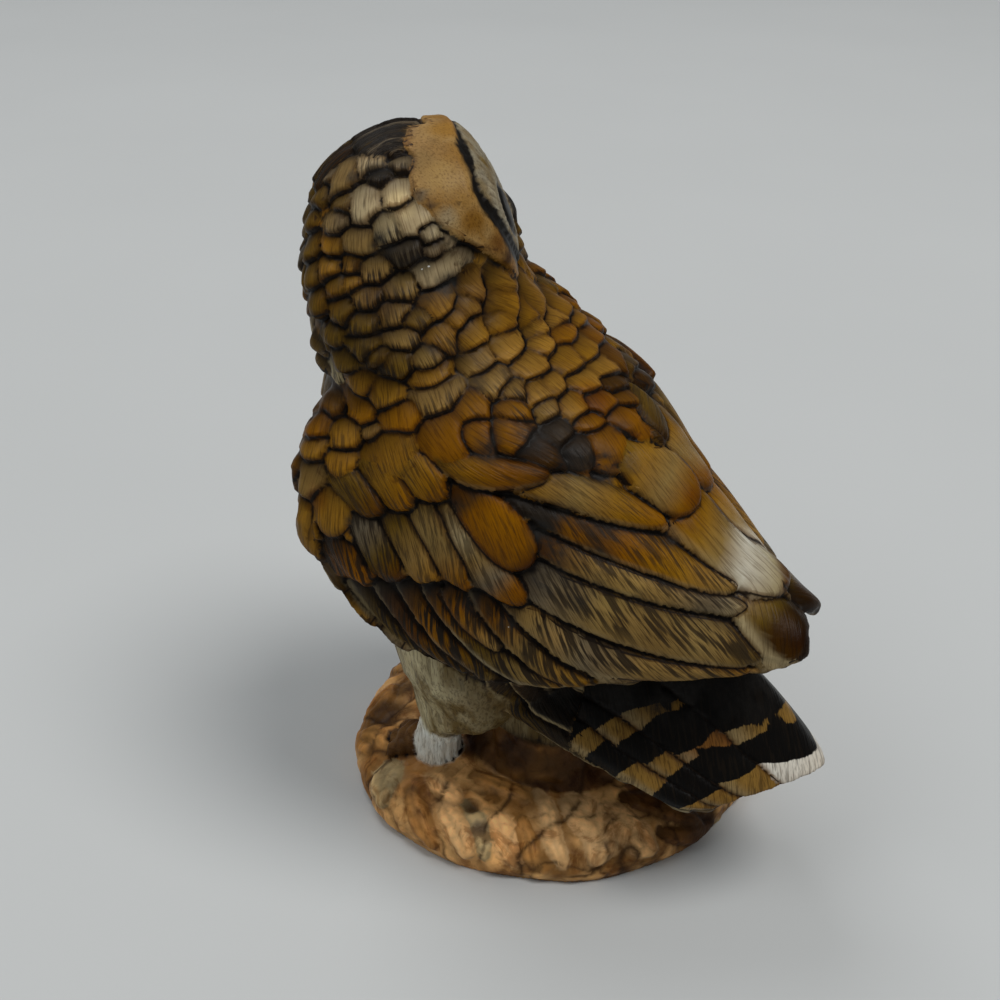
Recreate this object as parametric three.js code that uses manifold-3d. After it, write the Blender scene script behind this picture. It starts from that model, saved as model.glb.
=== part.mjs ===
// Cast bisque owl figurine on an oval rock foot, one solid piece.
// Millimetres, +Z up. The owl's body faces -Y, its tail points +Y, its left
// side is +X, and its head is turned back over its right shoulder.
// The origin lies in the flat underside of the rock foot.
import * as THREE from 'three';
import { ParametricGeometry } from 'three/addons/geometries/ParametricGeometry.js';
import { mergeVertices } from 'three/addons/utils/BufferGeometryUtils.js';
import Module from 'manifold-3d';

const wasm = await Module();
wasm.setup();

// ---------------------------------------------------------------- sizes
const ROCK_CENTRE = [-9.0, -1.4];        // middle of the oval foot
const ROCK_HALF_LONG = 46;           // half of its longest width
const ROCK_HALF_SHORT = 39;          // half of its shortest width
const ROCK_TURN = 126;               // degrees, direction of the long axis
const ROCK_TOP = 12.5;               // height of the rock under the feet
const ROCK_RELIEF = 0.55;            // depth of the worn leaf relief

const HEAD_CENTRE = [0.5, -29.5, 122.6];
const HEAD_BACK = 20.4;              // half-lengths of the skull
const HEAD_SIDE = 22.5;
const HEAD_HIGH = 19.4;
const FACE_AZIMUTH = 130;            // degrees from +X, seen from above
const FACE_PITCH = 20;               // degrees, looking up
const FACE_RIM = 15.0;               // rim of the facial disc ahead of the middle of the head
const FACE_NOSE = 18.4;              // the ridge between the eyes ahead of that middle
const EYE_RADIUS = 4.0;
const EYE_APART = 8.3;
const BEAK_LONG = 7.2;

const FEATHER_STEP = 0.75;           // how far a feather's tip stands over the next
const BODY_FEATHER = 8.0;            // spacing of the carved rows on the body
const WING_THICK = 4.2;              // thickness of the folded wing at its lower edge
const WING_FEATHERS = 8;             // long feathers laid side by side across the wing

const LEG_APART = 14.2;              // from the middle plane to the middle of a leg
const TAIL_FEATHERS = 5;             // on each side of the tail's ridge

// Body slices: height, half width, front, back, middle, narrowing of the back
const TORSO = [
  [31, 15, -19, 17, -2, 0.0],
  [38, 20, -25, 16, -3, 0.0],
  [45, 25, -31, 19, -4, 0.05],
  [53, 29, -36, 26, -6, 0.12],
  [61, 31.5, -40, 35, -8, 0.3],
  [69, 33.5, -43, 37, -9, 0.34],
  [77, 34.3, -44.8, 33.5, -9, 0.3],
  [85, 34.0, -45.6, 27.5, -10, 0.26],
  [93, 32.0, -45.4, 20.5, -11, 0.2],
  [100, 28.8, -45.6, 11.5, -13, 0.12],
  [106, 26.0, -46.6, 2.5, -17, 0.04],
  [111, 24.0, -48.2, -5, -21, 0.0],
  [116, 22.4, -49.0, -11, -26, 0.0],
  [121, 19.5, -47, -14.5, -28, 0.0],
];

// Neck slices under the skull: height, middle x, y, half width, half depth
const NECK = [
  [92, 2.6, -17, 25, 25],
  [98, 2.8, -19, 25.2, 23.8],
  [104, 3.0, -21.5, 24.6, 22.0],
  [110, 3.4, -24, 24.2, 21.2],
  [116, 3.2, -26.6, 22.8, 20.2],
  [122, 1.4, -28.8, 21.6, 19.6],
  [127, 0.6, -29.4, 17.5, 16.5],
];

// Wing stations from the wrist to the tip:
// upper edge x, y, z; lower edge x, y, z; how far the feathers bulge out
const WING = [
  [23.5, -36.5, 96, 30.5, -36.0, 84, 2.6],
  [19.5, -30, 102.5, 36.0, -32.0, 74.6, 5.4],
  [13.5, -19, 106.0, 37.9, -21.5, 64.0, 8.8],
  [8.0, -6, 106.5, 37.6, -8.6, 57.6, 10.4],
  [3.5, 7, 103.0, 35.6, 5.0, 55.2, 10.2],
  [0.6, 18, 96.0, 31.2, 17.0, 55.2, 8.8],
  [-0.6, 28.5, 86.0, 25.4, 30.0, 57.8, 6.8],
  [-1.0, 38, 76.2, 17.6, 42.5, 59.4, 4.8],
  [-1.0, 47, 69.4, 11.4, 51.0, 60.2, 3.0],
  [0.2, 53.4, 66.4, 7.2, 55.6, 62.8, 1.4],
];

// Tail stations: ridge y, z; edge x, y, z
const TAIL = [
  [-4, 58, 16.4, -15, 39.5],
  [10, 58, 18.6, -4, 36.8],
  [24, 57, 20.0, 9, 34.4],
  [37, 54, 20.8, 22, 31.8],
  [47, 47.2, 20.8, 32, 29.6],
  [55, 39.2, 20.2, 39.6, 28.0],
  [60.8, 32.6, 16.6, 45.4, 27.4],
];

// Leg slices: height, x, y, half width, half depth
const LEG = [
  [7, 14.4, -18.4, 4.2, 5],
  [12, 14.4, -18.4, 4.6, 5.2],
  [17, 14.4, -18, 4.4, 4.9],
  [21.5, 14.6, -16.2, 4.9, 5.4],
  [25, 14.8, -12.8, 6, 9.6],
  [31, 15, -11, 7.2, 12],
  [38, 15.8, -10.6, 9.2, 14],
  [46, 16, -9.8, 10.8, 16],
  [54, 15.6, -9.2, 11.4, 16.8],
];

// ---------------------------------------------------------------- helpers
const rad = (d) => (d * Math.PI) / 180;
const mix = (a, b, t) => a + (b - a) * t;
const clamp = (v, a, b) => Math.min(b, Math.max(a, v));

// smooth value of a table's columns at a place 0..1 along its rows
function along(table, t) {
  const n = table.length - 1;
  const f = clamp(t, 0, 1) * n;
  const i = Math.min(n - 1, Math.floor(f));
  const k = f - i;
  const row = (j) => table[clamp(j, 0, n)];
  return table[0].map((_, c) => {
    const p0 = i === 0 ? 2 * row(0)[c] - row(1)[c] : row(i - 1)[c];
    const p1 = row(i)[c];
    const p2 = row(i + 1)[c];
    const p3 = i + 2 > n ? 2 * row(n)[c] - row(n - 1)[c] : row(i + 2)[c];
    return 0.5 * (2 * p1 + (p2 - p0) * k + (2 * p0 - 5 * p1 + 4 * p2 - p3) * k * k
      + (3 * p1 - p0 - 3 * p2 + p3) * k * k * k);
  });
}

// a closed skin of rings, its first and last ring drawn together to a point
function skin(around, rings, ring) {
  const centre = (t) => {
    const c = new THREE.Vector3();
    for (let j = 0; j < around; j++) c.add(ring(t, j / around));
    return c.divideScalar(around);
  };
  const ends = [centre(0), centre(1)];
  const g = new ParametricGeometry((u, v, target) => {
    const k = Math.round(v * (rings + 1));
    if (k === 0) return target.copy(ends[0]);
    if (k === rings + 1) return target.copy(ends[1]);
    const j = Math.round(u * around) % around;
    return target.copy(ring((k - 1) / (rings - 1), j / around));
  }, around, rings + 1);
  return solid(g);
}

// the closed manifold of a geometry
function solid(geometry) {
  const g = geometry.clone();
  g.deleteAttribute('normal');
  g.deleteAttribute('uv');
  const m = mergeVertices(g, 1e-4);
  const idx = m.index.array;
  const keep = [];
  for (let i = 0; i < idx.length; i += 3) {
    const [a, b, c] = [idx[i], idx[i + 1], idx[i + 2]];
    if (a !== b && b !== c && c !== a) keep.push(a, b, c);
  }
  const build = (tri) => new wasm.Manifold(new wasm.Mesh({
    numProp: 3,
    vertProperties: new Float32Array(m.attributes.position.array),
    triVerts: new Uint32Array(tri),
  }));
  let out = build(keep);
  if (out.volume() < 0) {
    for (let i = 0; i < keep.length; i += 3) [keep[i + 1], keep[i + 2]] = [keep[i + 2], keep[i + 1]];
    out = build(keep);
  }
  return out;
}

// overlapping carved feathers: 0 at a feather's root, 1 at its tip, with round
// ends that interlock from row to row
function shingle(down, across) {
  const row = Math.floor(down);
  const f = down - row;
  const a = across + (row % 2 ? 0.5 : 0);
  const c = Math.abs(a - Math.floor(a) - 0.5) * 2;   // 0 in the middle, 1 between two
  const g = f + 0.42 * c * c;
  return g < 1 ? g : g - 1;
}

// ---------------------------------------------------------------- torso
function torsoRing(t, u) {
  const [z, a, yf, yb, yc, taper] = along(TORSO, t);
  const th = 2 * Math.PI * u;
  const c = Math.cos(th);
  const s = Math.sin(th);
  const narrow = s > 0 ? 1 - taper * s * s : 1;
  let x = a * c * narrow;
  let y = yc + (s > 0 ? yb - yc : yc - yf) * s;
  const r = Math.hypot(x, y - yc);
  const carve = FEATHER_STEP * shingle((z * -1 + 120) / BODY_FEATHER, (u * 14)) - 0.4 * FEATHER_STEP;
  const k = (r + carve) / r;
  x *= k;
  y = yc + (y - yc) * k;
  return new THREE.Vector3(x, y, z);
}
const torso = skin(44, 27, torsoRing);

// ---------------------------------------------------------------- wings
function wingRing(side) {
  return (t, u) => {
    const w = along(WING, t);
    const up = new THREE.Vector3(w[0], w[1], w[2]);
    const low = new THREE.Vector3(w[3], w[4], w[5]);
    const span = low.clone().sub(up);
    // outward: square to the span, leaning to the side and up
    const out = new THREE.Vector3(-span.z, 0, span.x).normalize();
    const N = 20;
    const j = Math.round(u * N) % N;
    let p;
    if (j < 14) {
      const v = j / 13;
      const bulge = w[6] * Math.pow(Math.sin(Math.PI * Math.pow(v, 0.92)), 0.8);
      const f = v * WING_FEATHERS - 0.25 + t * 0.6;
      const lay = FEATHER_STEP * (f - Math.floor(f)) * clamp((t - 0.25) * 3, 0.15, 1) * (v > 0.04 && v < 0.98 ? 1 : 0);
      p = up.clone().addScaledVector(span, v).addScaledVector(out, bulge + lay);
    } else {
      const v = 1 - (j - 13) / 7;
      const bulge = w[6] * Math.pow(Math.sin(Math.PI * Math.pow(v, 0.92)), 0.8);
      const thick = WING_THICK * (1 - 0.45 * t) * (0.45 + 0.55 * Math.sin(Math.PI * v)) + 0.4;
      p = up.clone().addScaledVector(span, v * 0.97).addScaledVector(out, bulge * 0.8 - thick);
    }
    p.x *= side;
    if (side < 0) p.y -= 2.4 * t * t;    // the right wing lies a little under the left
    return p;
  };
}
const wingL = skin(20, 22, wingRing(1));
const wingR = skin(20, 22, wingRing(-1));

// ---------------------------------------------------------------- tail
function tailRing(t, u) {
  const [ry, rz, ex, ey, ez] = along(TAIL, t);
  const N = 20;
  const j = Math.round(u * N) % N;
  // 0..6 left slope, ridge to edge; 7..13 underside; 14..19 right slope
  const slope = (v, side) => {
    const f = v * TAIL_FEATHERS;
    const lay = 0.55 * FEATHER_STEP * (f - Math.floor(f)) * (v < 0.99 ? 1 : 0);
    const bow = 1.5 * Math.sin(Math.PI * v) + lay;
    return new THREE.Vector3(
      side * (mix(0, ex, v) + bow * 0.75), mix(ry, ey, Math.pow(v, 1.15)), mix(rz, ez, v) + bow * 0.6);
  };
  if (j <= 6) return slope(j / 6, 1);
  if (j >= 14) return slope((20 - j) / 6, -1);
  const v = (j - 6) / 8;                 // left edge to right edge, underneath
  const x = mix(ex, -ex, v) * 0.97;
  const sag = Math.sin(Math.PI * v);
  return new THREE.Vector3(x, mix(ey, ry, 0.3 * sag) - 1.2 * t, ez - 2.2 + (rz - ez) * 0.12 * sag);
}
const tail = skin(20, 16, tailRing);

// ---------------------------------------------------------------- legs and toes
function legRing(side) {
  return (t, u) => {
    const [z, x, y, a, b] = along(LEG, t);
    const th = 2 * Math.PI * u;
    return new THREE.Vector3(side * (x + a * Math.cos(th)), y + b * Math.sin(th), z);
  };
}
function toe(side, turn) {
  const dir = new THREE.Vector3(side * Math.sin(rad(turn)), -Math.cos(rad(turn)), 0);
  const from = new THREE.Vector3(side * LEG_APART, -21, ROCK_TOP - 0.8);
  return skin(10, 7, (t, u) => {
    const th = 2 * Math.PI * u;
    const r = 2.5 * Math.sqrt(Math.max(0.04, 1 - Math.pow(t * 1.02 - 0.35, 2) * 1.9));
    const c = from.clone().addScaledVector(dir, t * 9.5);
    c.z += 1.0 * Math.sin(Math.PI * t) - 1.4 * t;
    return c.addScaledVector(new THREE.Vector3(-dir.y, dir.x, 0), r * Math.cos(th))
      .add(new THREE.Vector3(0, 0, r * 0.9 * Math.sin(th)));
  });
}

// ---------------------------------------------------------------- head
const face = new THREE.Vector3(
  Math.cos(rad(FACE_PITCH)) * Math.cos(rad(FACE_AZIMUTH)),
  Math.cos(rad(FACE_PITCH)) * Math.sin(rad(FACE_AZIMUTH)), Math.sin(rad(FACE_PITCH)));
const faceLeft = new THREE.Vector3(-Math.sin(rad(FACE_AZIMUTH)), Math.cos(rad(FACE_AZIMUTH)), 0);
const faceUp = face.clone().cross(faceLeft);
const headAt = (s, l, w) => new THREE.Vector3(...HEAD_CENTRE)
  .addScaledVector(face, s).addScaledVector(faceLeft, l).addScaledVector(faceUp, w);

// profile of the skull and the facial disc: place along the face direction, radius
const rimR = Math.sqrt(1 - Math.pow(FACE_RIM / (HEAD_BACK + 4), 2));
function headProfile(t) {
  const SKULL = 0.66;
  if (t < SKULL) {
    const k = t / SKULL;
    const a = mix(rad(-82), Math.asin(FACE_RIM / (HEAD_BACK + 4)), k);
    return [Math.sin(a) * (a < 0 ? HEAD_BACK : HEAD_BACK + 4), Math.cos(a)];
  }
  const k = (t - SKULL) / (1 - SKULL);
  const q = 0.965 * (1 - k * 0.96);    // share of the disc's radius
  const groove = FACE_RIM - 1.0;
  return [groove + (FACE_NOSE - groove) * Math.pow(1 - q * q, 0.62), rimR * q];
}
const head = skin(28, 17, (t, u) => {
  const [s, r] = headProfile(t);
  const th = 2 * Math.PI * u;
  const carve = t < 0.6 ? FEATHER_STEP * 0.8 * shingle(t * 11, u * 11) - 0.3 : 0;
  return headAt(s, (HEAD_SIDE * r + carve) * Math.cos(th), (HEAD_HIGH * r + carve) * Math.sin(th));
});
const neck = skin(36, 12, (t, u) => {
  const [z, x, y, a, b] = along(NECK, t);
  const th = 2 * Math.PI * u;
  const carve = FEATHER_STEP * shingle((120 - z) / (0.8 * BODY_FEATHER), u * 12) - 0.5 * FEATHER_STEP;
  return new THREE.Vector3(x + (a + carve) * Math.cos(th), y + (b + carve) * Math.sin(th), z);
});
function ball(at, radius) {
  const g = new THREE.SphereGeometry(radius, 14, 10);
  g.translate(at.x, at.y, at.z);
  return solid(g);
}
const eyes = [1, -1].map((k) => ball(headAt(FACE_RIM - 1.4, k * EYE_APART, 0.4), EYE_RADIUS));
const beak = skin(10, 8, (t, u) => {
  const th = 2 * Math.PI * u;
  const r = mix(2.7, 0.35, Math.pow(t, 1.3));
  const s = FACE_NOSE - 2.4 + 2.4 * Math.sin(Math.PI * 0.62 * t);
  return headAt(s + r * Math.cos(th), r * 0.8 * Math.sin(th), 0.5 - BEAK_LONG * t);
});

// ---------------------------------------------------------------- rock foot
const ROCK_PROFILE = [
  [0.975, 0], [0.995, 1.2], [1.0, 3.0], [0.985, 5.4], [0.94, 7.4],
  [0.86, 9.2], [0.74, 10.7], [0.56, 11.8], [0.34, 12.4], [0.12, 12.5],
];
const rock = skin(44, 11, (t, u) => {
  const [k, h] = along(ROCK_PROFILE, t);
  const th = 2 * Math.PI * u;
  const wave = 1 + 0.012 * Math.sin(3 * th + 0.6) + 0.010 * Math.sin(5 * th + 2.1) + 0.006 * Math.sin(11 * th);
  const turn = rad(ROCK_TURN);
  const x = ROCK_HALF_LONG * k * wave * Math.cos(th);
  const y = ROCK_HALF_SHORT * k * wave * Math.sin(th);
  const veins = t > 0.12 && t < 0.9 ? ROCK_RELIEF * Math.sin(14 * th + 5 * t) * Math.sin(Math.PI * t) : 0;
  return new THREE.Vector3(
    ROCK_CENTRE[0] + x * Math.cos(turn) - y * Math.sin(turn),
    ROCK_CENTRE[1] + x * Math.sin(turn) + y * Math.cos(turn),
    t === 0 ? 0 : Math.max(0.2, Math.min(h, ROCK_TOP) * (ROCK_TOP / 12.5) + veins));
});
// the rise of rock that carries the belly and the root of the tail
const MOUND = [
  [8, 17, 22], [13, 14.5, 18.5], [20, 12.4, 15], [28, 12.6, 15.5], [36, 14, 18],
];
const mound = skin(24, 7, (t, u) => {
  const [z, a, b] = along(MOUND, t);
  const th = 2 * Math.PI * u;
  return new THREE.Vector3(a * Math.cos(th), 1 + b * Math.sin(th), z);
});

// ---------------------------------------------------------------- one casting
let owl = torso.add(rock).add(mound).add(tail).add(wingL).add(wingR).add(neck).add(head);
for (const side of [1, -1]) {
  owl = owl.add(skin(20, 10, legRing(side)));
  for (const turn of [-22, 8, 38]) owl = owl.add(toe(side, turn));
}
for (const e of eyes) owl = owl.add(e);
owl = owl.add(beak);

function geometryOf(m) {
  const mesh = m.getMesh();
  const n = mesh.numProp;
  const pos = new Float32Array((mesh.vertProperties.length / n) * 3);
  for (let i = 0; i < pos.length / 3; i++) {
    for (let k = 0; k < 3; k++) pos[3 * i + k] = mesh.vertProperties[i * n + k];
  }
  const g = new THREE.BufferGeometry();
  g.setAttribute('position', new THREE.BufferAttribute(pos, 3));
  g.setIndex(new THREE.BufferAttribute(new Uint32Array(mesh.triVerts), 1));
  g.computeVertexNormals();
  return g;
}

const figure = new THREE.Mesh(geometryOf(owl), new THREE.MeshStandardMaterial({
  color: 0x8a5a22, roughness: 0.55, metalness: 0,
}));
figure.name = 'owl_on_rock_casting';

const group = new THREE.Group();
group.add(figure);
export default group;
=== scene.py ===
import math

import bpy
import numpy as np
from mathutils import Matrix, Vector
from mathutils.bvhtree import BVHTree
from mathutils.kdtree import KDTree


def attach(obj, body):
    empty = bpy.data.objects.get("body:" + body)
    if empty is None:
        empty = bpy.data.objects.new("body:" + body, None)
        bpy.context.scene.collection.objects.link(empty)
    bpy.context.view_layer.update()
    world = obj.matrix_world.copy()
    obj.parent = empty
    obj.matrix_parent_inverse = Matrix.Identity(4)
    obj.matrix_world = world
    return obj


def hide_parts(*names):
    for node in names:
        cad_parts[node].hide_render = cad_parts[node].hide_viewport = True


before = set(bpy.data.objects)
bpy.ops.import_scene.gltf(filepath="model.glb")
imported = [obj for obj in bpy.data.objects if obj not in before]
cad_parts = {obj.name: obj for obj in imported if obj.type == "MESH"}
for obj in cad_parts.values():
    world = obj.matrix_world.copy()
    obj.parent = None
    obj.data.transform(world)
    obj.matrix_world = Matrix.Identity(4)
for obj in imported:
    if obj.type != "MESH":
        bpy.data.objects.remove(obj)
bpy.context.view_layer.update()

RNG = np.random.default_rng(7)
PITCH = 0.42            # millimetres between points of the fine form
FACES = 196000          # triangles kept in the finished mesh


# ------------------------------------------------------------------ camera
AZ, EL, FOCAL = math.radians(120), math.radians(32), 1200.0
EYE = np.array([176.389, 90.816, 197.526])
FWD = np.array([-math.sin(AZ) * math.cos(EL), math.cos(AZ) * math.cos(EL), -math.sin(EL)])
RIGHT = np.array([math.cos(AZ), math.sin(AZ), 0.0])
UP = np.cross(RIGHT, FWD)


def ray(u, v):
    d = FWD * FOCAL + RIGHT * (u - 500.0) - UP * (v - 500.0)
    return d / np.linalg.norm(d)


def to_px(p):
    q = p - EYE
    z = q @ FWD
    return 500 + FOCAL * (q @ RIGHT) / z, 500 - FOCAL * (q @ UP) / z


# ------------------------------------------------------------------ small maths
def unit(a):
    n = np.linalg.norm(a, axis=-1, keepdims=True)
    return a / np.maximum(n, 1e-9)


def mix(a, b, t):
    return a + (b - a) * t


def smooth(a, b, x):
    t = np.clip((x - a) / (b - a), 0, 1)
    return t * t * (3 - 2 * t)


def along(table, t):
    """Smooth value of a table's columns at places 0..1 along its rows."""
    tab = np.asarray(table, float)
    n = len(tab) - 1
    tab = np.vstack([2 * tab[0] - tab[1], tab, 2 * tab[n] - tab[n - 1]])
    f = np.clip(np.asarray(t, float), 0, 1) * n
    i = np.minimum(n - 1, np.floor(f)).astype(int)
    k = (f - i)[..., None]
    p0, p1, p2, p3 = tab[i], tab[i + 1], tab[i + 2], tab[i + 3]
    return 0.5 * (2 * p1 + (p2 - p0) * k + (2 * p0 - 5 * p1 + 4 * p2 - p3) * k * k
                  + (3 * p1 - p0 - 3 * p2 + p3) * k ** 3)


def hashed(i, j, k, seed):
    n = (i * 73856093) ^ (j * 19349663) ^ (k * 83492791) ^ (seed * 2654435)
    n = (n ^ (n >> 13)) * 1274126177
    return ((n ^ (n >> 16)) & 0xFFFF) / 65535.0


def noise(p, seed=0):
    """Value noise, 0..1, at points p of shape (..., 3)."""
    f = np.floor(p).astype(np.int64)
    r = p - f
    r = r * r * (3 - 2 * r)
    out = 0.0
    for a in (0, 1):
        for b in (0, 1):
            for c in (0, 1):
                w = (r[..., 0] if a else 1 - r[..., 0]) * (r[..., 1] if b else 1 - r[..., 1]) \
                    * (r[..., 2] if c else 1 - r[..., 2])
                out = out + w * hashed(f[..., 0] + a, f[..., 1] + b, f[..., 2] + c, seed)
    return out


def fbm(p, octaves=3, seed=0):
    s, a, t = 0.0, 1.0, 0.0
    for o in range(octaves):
        s = s + a * noise(p * 2.0 ** o + 17.3 * o, seed + o)
        t += a
        a *= 0.5
    return s / t


# ------------------------------------------------------------------ the form
ROCK_C = np.array([-9.0, -1.4])
ROCK_LONG, ROCK_SHORT, ROCK_TURN, ROCK_TOP = 46.0, 39.0, math.radians(126), 12.5
HC = np.array([0.5, -29.5, 122.6])
H_BACK, H_FRONT, H_SIDE, H_HIGH = 20.4, 24.4, 22.5, 19.4
FA, FP = math.radians(130), math.radians(20)
RIM, NOSE, EYE_R, EYE_APART, BEAK = 15.0, 18.4, 4.0, 8.3, 7.2
FACE = np.array([math.cos(FP) * math.cos(FA), math.cos(FP) * math.sin(FA), math.sin(FP)])
FLEFT = np.array([-math.sin(FA), math.cos(FA), 0.0])
FUP = np.cross(FACE, FLEFT)

TORSO = [
    [31, 15, -19, 17, -2, 0.0], [38, 20, -25, 16, -3, 0.0], [45, 25, -31, 19, -4, 0.05],
    [53, 29, -36, 26, -6, 0.12], [61, 31.5, -40, 35, -8, 0.3], [69, 33.5, -43, 37, -9, 0.34],
    [77, 34.3, -44.8, 33.5, -9, 0.3], [85, 34.0, -45.6, 27.5, -10, 0.26],
    [93, 32.0, -45.4, 20.5, -11, 0.2], [100, 28.8, -45.6, 11.5, -13, 0.12],
    [106, 26.0, -46.6, 2.5, -17, 0.04], [111, 24.0, -48.2, -5, -21, 0.0],
    [116, 22.4, -49.0, -11, -26, 0.0], [121, 19.5, -47, -14.5, -28, 0.0]]
NECK = [
    [92, 2.6, -17, 25, 25], [98, 2.8, -19, 25.2, 23.8], [104, 3.0, -21.5, 24.6, 22.0],
    [110, 3.4, -24, 24.2, 21.2], [116, 3.2, -26.6, 22.8, 20.2], [122, 1.4, -28.8, 21.6, 19.6],
    [127, 0.6, -29.4, 17.5, 16.5]]
WING = [
    [23.5, -36.5, 96, 30.5, -36.0, 84, 2.6], [19.5, -30, 102.5, 36.0, -32.0, 74.6, 5.4],
    [13.5, -19, 106.0, 37.9, -21.5, 64.0, 8.8], [8.0, -6, 106.5, 37.6, -8.6, 57.6, 10.4],
    [3.5, 7, 103.0, 35.6, 5.0, 55.2, 10.2], [0.6, 18, 96.0, 31.2, 17.0, 55.2, 8.8],
    [-0.6, 28.5, 86.0, 25.4, 30.0, 57.8, 6.8], [-1.0, 38, 76.2, 17.6, 42.5, 59.4, 4.8],
    [-1.0, 47, 69.4, 11.4, 51.0, 60.2, 3.0], [0.2, 53.4, 66.4, 7.2, 55.6, 62.8, 1.4]]
TAIL = [
    [-4, 58, 16.4, -15, 39.5], [10, 58, 18.6, -4, 36.8], [24, 57, 20.0, 9, 34.4],
    [37, 54, 20.8, 22, 31.8], [47, 47.2, 20.8, 32, 29.6], [55, 39.2, 20.2, 39.6, 28.0],
    [60.8, 32.6, 16.6, 45.4, 27.4]]
LEG = [
    [7, 14.4, -18.4, 4.2, 5], [12, 14.4, -18.4, 4.6, 5.2], [17, 14.4, -18, 4.4, 4.9],
    [21.5, 14.6, -16.2, 4.9, 5.4], [25, 14.8, -12.8, 6, 9.6], [31, 15, -11, 7.2, 12],
    [38, 15.8, -10.6, 9.2, 14], [46, 16, -9.8, 10.8, 16], [54, 15.6, -9.2, 11.4, 16.8]]
MOUND = [[8, 17, 22], [13, 14.5, 18.5], [20, 12.4, 15], [28, 12.6, 15.5], [36, 14, 18]]
ROCK = [
    [0.975, 0], [0.995, 1.2], [1.0, 3.0], [0.985, 5.4], [0.94, 7.4], [0.86, 9.2],
    [0.74, 10.7], [0.56, 11.8], [0.34, 12.4], [0.12, 12.5]]


def head_at(s, l, w):
    s, l, w = (np.asarray(x, float)[..., None] for x in (s, l, w))
    return HC + s * FACE + l * FLEFT + w * FUP


def ellipse(x, y, z, a, b, th):
    return np.stack([x + a * np.cos(th), y + b * np.sin(th), z + 0 * th], -1)


def torso(t, th):
    z, a, yf, yb, yc, taper = np.moveaxis(along(TORSO, t), -1, 0)
    s = np.sin(th)
    narrow = np.where(s > 0, 1 - taper * s * s, 1)
    return np.stack([a * np.cos(th) * narrow, yc + np.where(s > 0, yb - yc, yc - yf) * s, z + 0 * th], -1)


def neck(t, th):
    z, x, y, a, b = np.moveaxis(along(NECK, t), -1, 0)
    return ellipse(x, y, z, a, b, th)


def mound(t, th):
    z, a, b = np.moveaxis(along(MOUND, t), -1, 0)
    return ellipse(0 * z, 0 * z + 1, z, a, b, th)


def leg(side):
    def ring(t, th):
        z, x, y, a, b = np.moveaxis(along(LEG, t), -1, 0)
        return ellipse(side * x, y, z, a, b, th)
    return ring


def wing(side):
    def ring(t, th):
        w = along(WING, t) + 0 * th[..., None]
        t = t + 0 * th
        up, low, bulge = w[..., 0:3], w[..., 3:6], w[..., 6]
        span = low - up
        out = unit(np.stack([-span[..., 2], 0 * t, span[..., 0]], -1))
        u = th / (2 * math.pi) + 0 * t
        outer = u < 0.62
        v = np.where(outer, np.clip(u / 0.62, 0, 1), np.clip(1 - (u - 0.62) / 0.38, 0, 1))
        b = bulge * np.sin(math.pi * v ** 0.92) ** 0.8
        thick = 4.2 * (1 - 0.45 * t) * (0.45 + 0.55 * np.sin(math.pi * v)) + 0.4
        off = np.where(outer, b, 0.8 * b - thick)
        p = up + span * (v * np.where(outer, 1, 0.97))[..., None] + out * off[..., None]
        p = p * np.array([side, 1, 1])
        if side < 0:
            p = p - np.array([0, 2.4, 0]) * (t * t)[..., None]
        return p
    return ring


def tail(t, th):
    ry, rz, ex, ey, ez = (c + 0 * th for c in np.moveaxis(along(TAIL, t), -1, 0))
    t = t + 0 * th
    u = th / (2 * math.pi) + 0 * t

    def slope(v, side):
        bow = 1.5 * np.sin(math.pi * v) + 0.25
        return np.stack([side * (ex * v + bow * 0.75), mix(ry, ey, v ** 1.15), mix(rz, ez, v) + bow * 0.6], -1)
    v = np.clip((u - 0.3) / 0.4, 0, 1)
    sag = np.sin(math.pi * v)
    under = np.stack([mix(ex, -ex, v) * 0.97, mix(ey, ry, 0.3 * sag) - 1.2 * t,
                      ez - 2.2 + (rz - ez) * 0.12 * sag], -1)
    left = slope(np.clip(u / 0.3, 0, 1), 1)
    right = slope(np.clip((1 - u) / 0.3, 0, 1), -1)
    return np.where((u < 0.3)[..., None], left, np.where((u > 0.7)[..., None], right, under))


def toe(side, turn):
    turn = math.radians(turn)
    d = np.array([side * math.sin(turn), -math.cos(turn), 0.0])
    start = np.array([side * 14.2, -21, ROCK_TOP - 0.8])

    def ring(t, th):
        r = 2.5 * np.sqrt(np.maximum(0.04, 1 - (t * 1.02 - 0.35) ** 2 * 1.9))
        c = start + d * (t * 9.5)[..., None]
        c = c + np.array([0, 0, 1.0]) * (np.sin(math.pi * t) - 1.4 * t)[..., None]
        return c + np.array([-d[1], d[0], 0]) * (r * np.cos(th))[..., None] \
            + np.array([0, 0, 0.9]) * (r * np.sin(th))[..., None]
    return ring


RIM_R = math.sqrt(1 - (RIM / H_FRONT) ** 2)


def head(t, th):
    a = mix(math.radians(-82), math.asin(RIM / H_FRONT), np.clip(t / 0.66, 0, 1))
    s1 = np.sin(a) * np.where(a < 0, H_BACK, H_FRONT)
    q = 0.965 * (1 - np.clip((t - 0.66) / 0.34, 0, 1) * 0.96)
    groove = RIM - 1.0
    s2 = groove + (NOSE - groove) * (1 - q * q) ** 0.62
    s = np.where(t < 0.66, s1, s2)
    r = np.where(t < 0.66, np.cos(a), RIM_R * q)
    return head_at(s + 0 * th, H_SIDE * r * np.cos(th), H_HIGH * r * np.sin(th))


def ball(centre, radius):
    def ring(t, th):
        a = mix(-1.5, 1.5, t)
        return centre + radius * np.stack([np.cos(a) * np.cos(th), np.cos(a) * np.sin(th), np.sin(a) + 0 * th], -1)
    return ring


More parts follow.
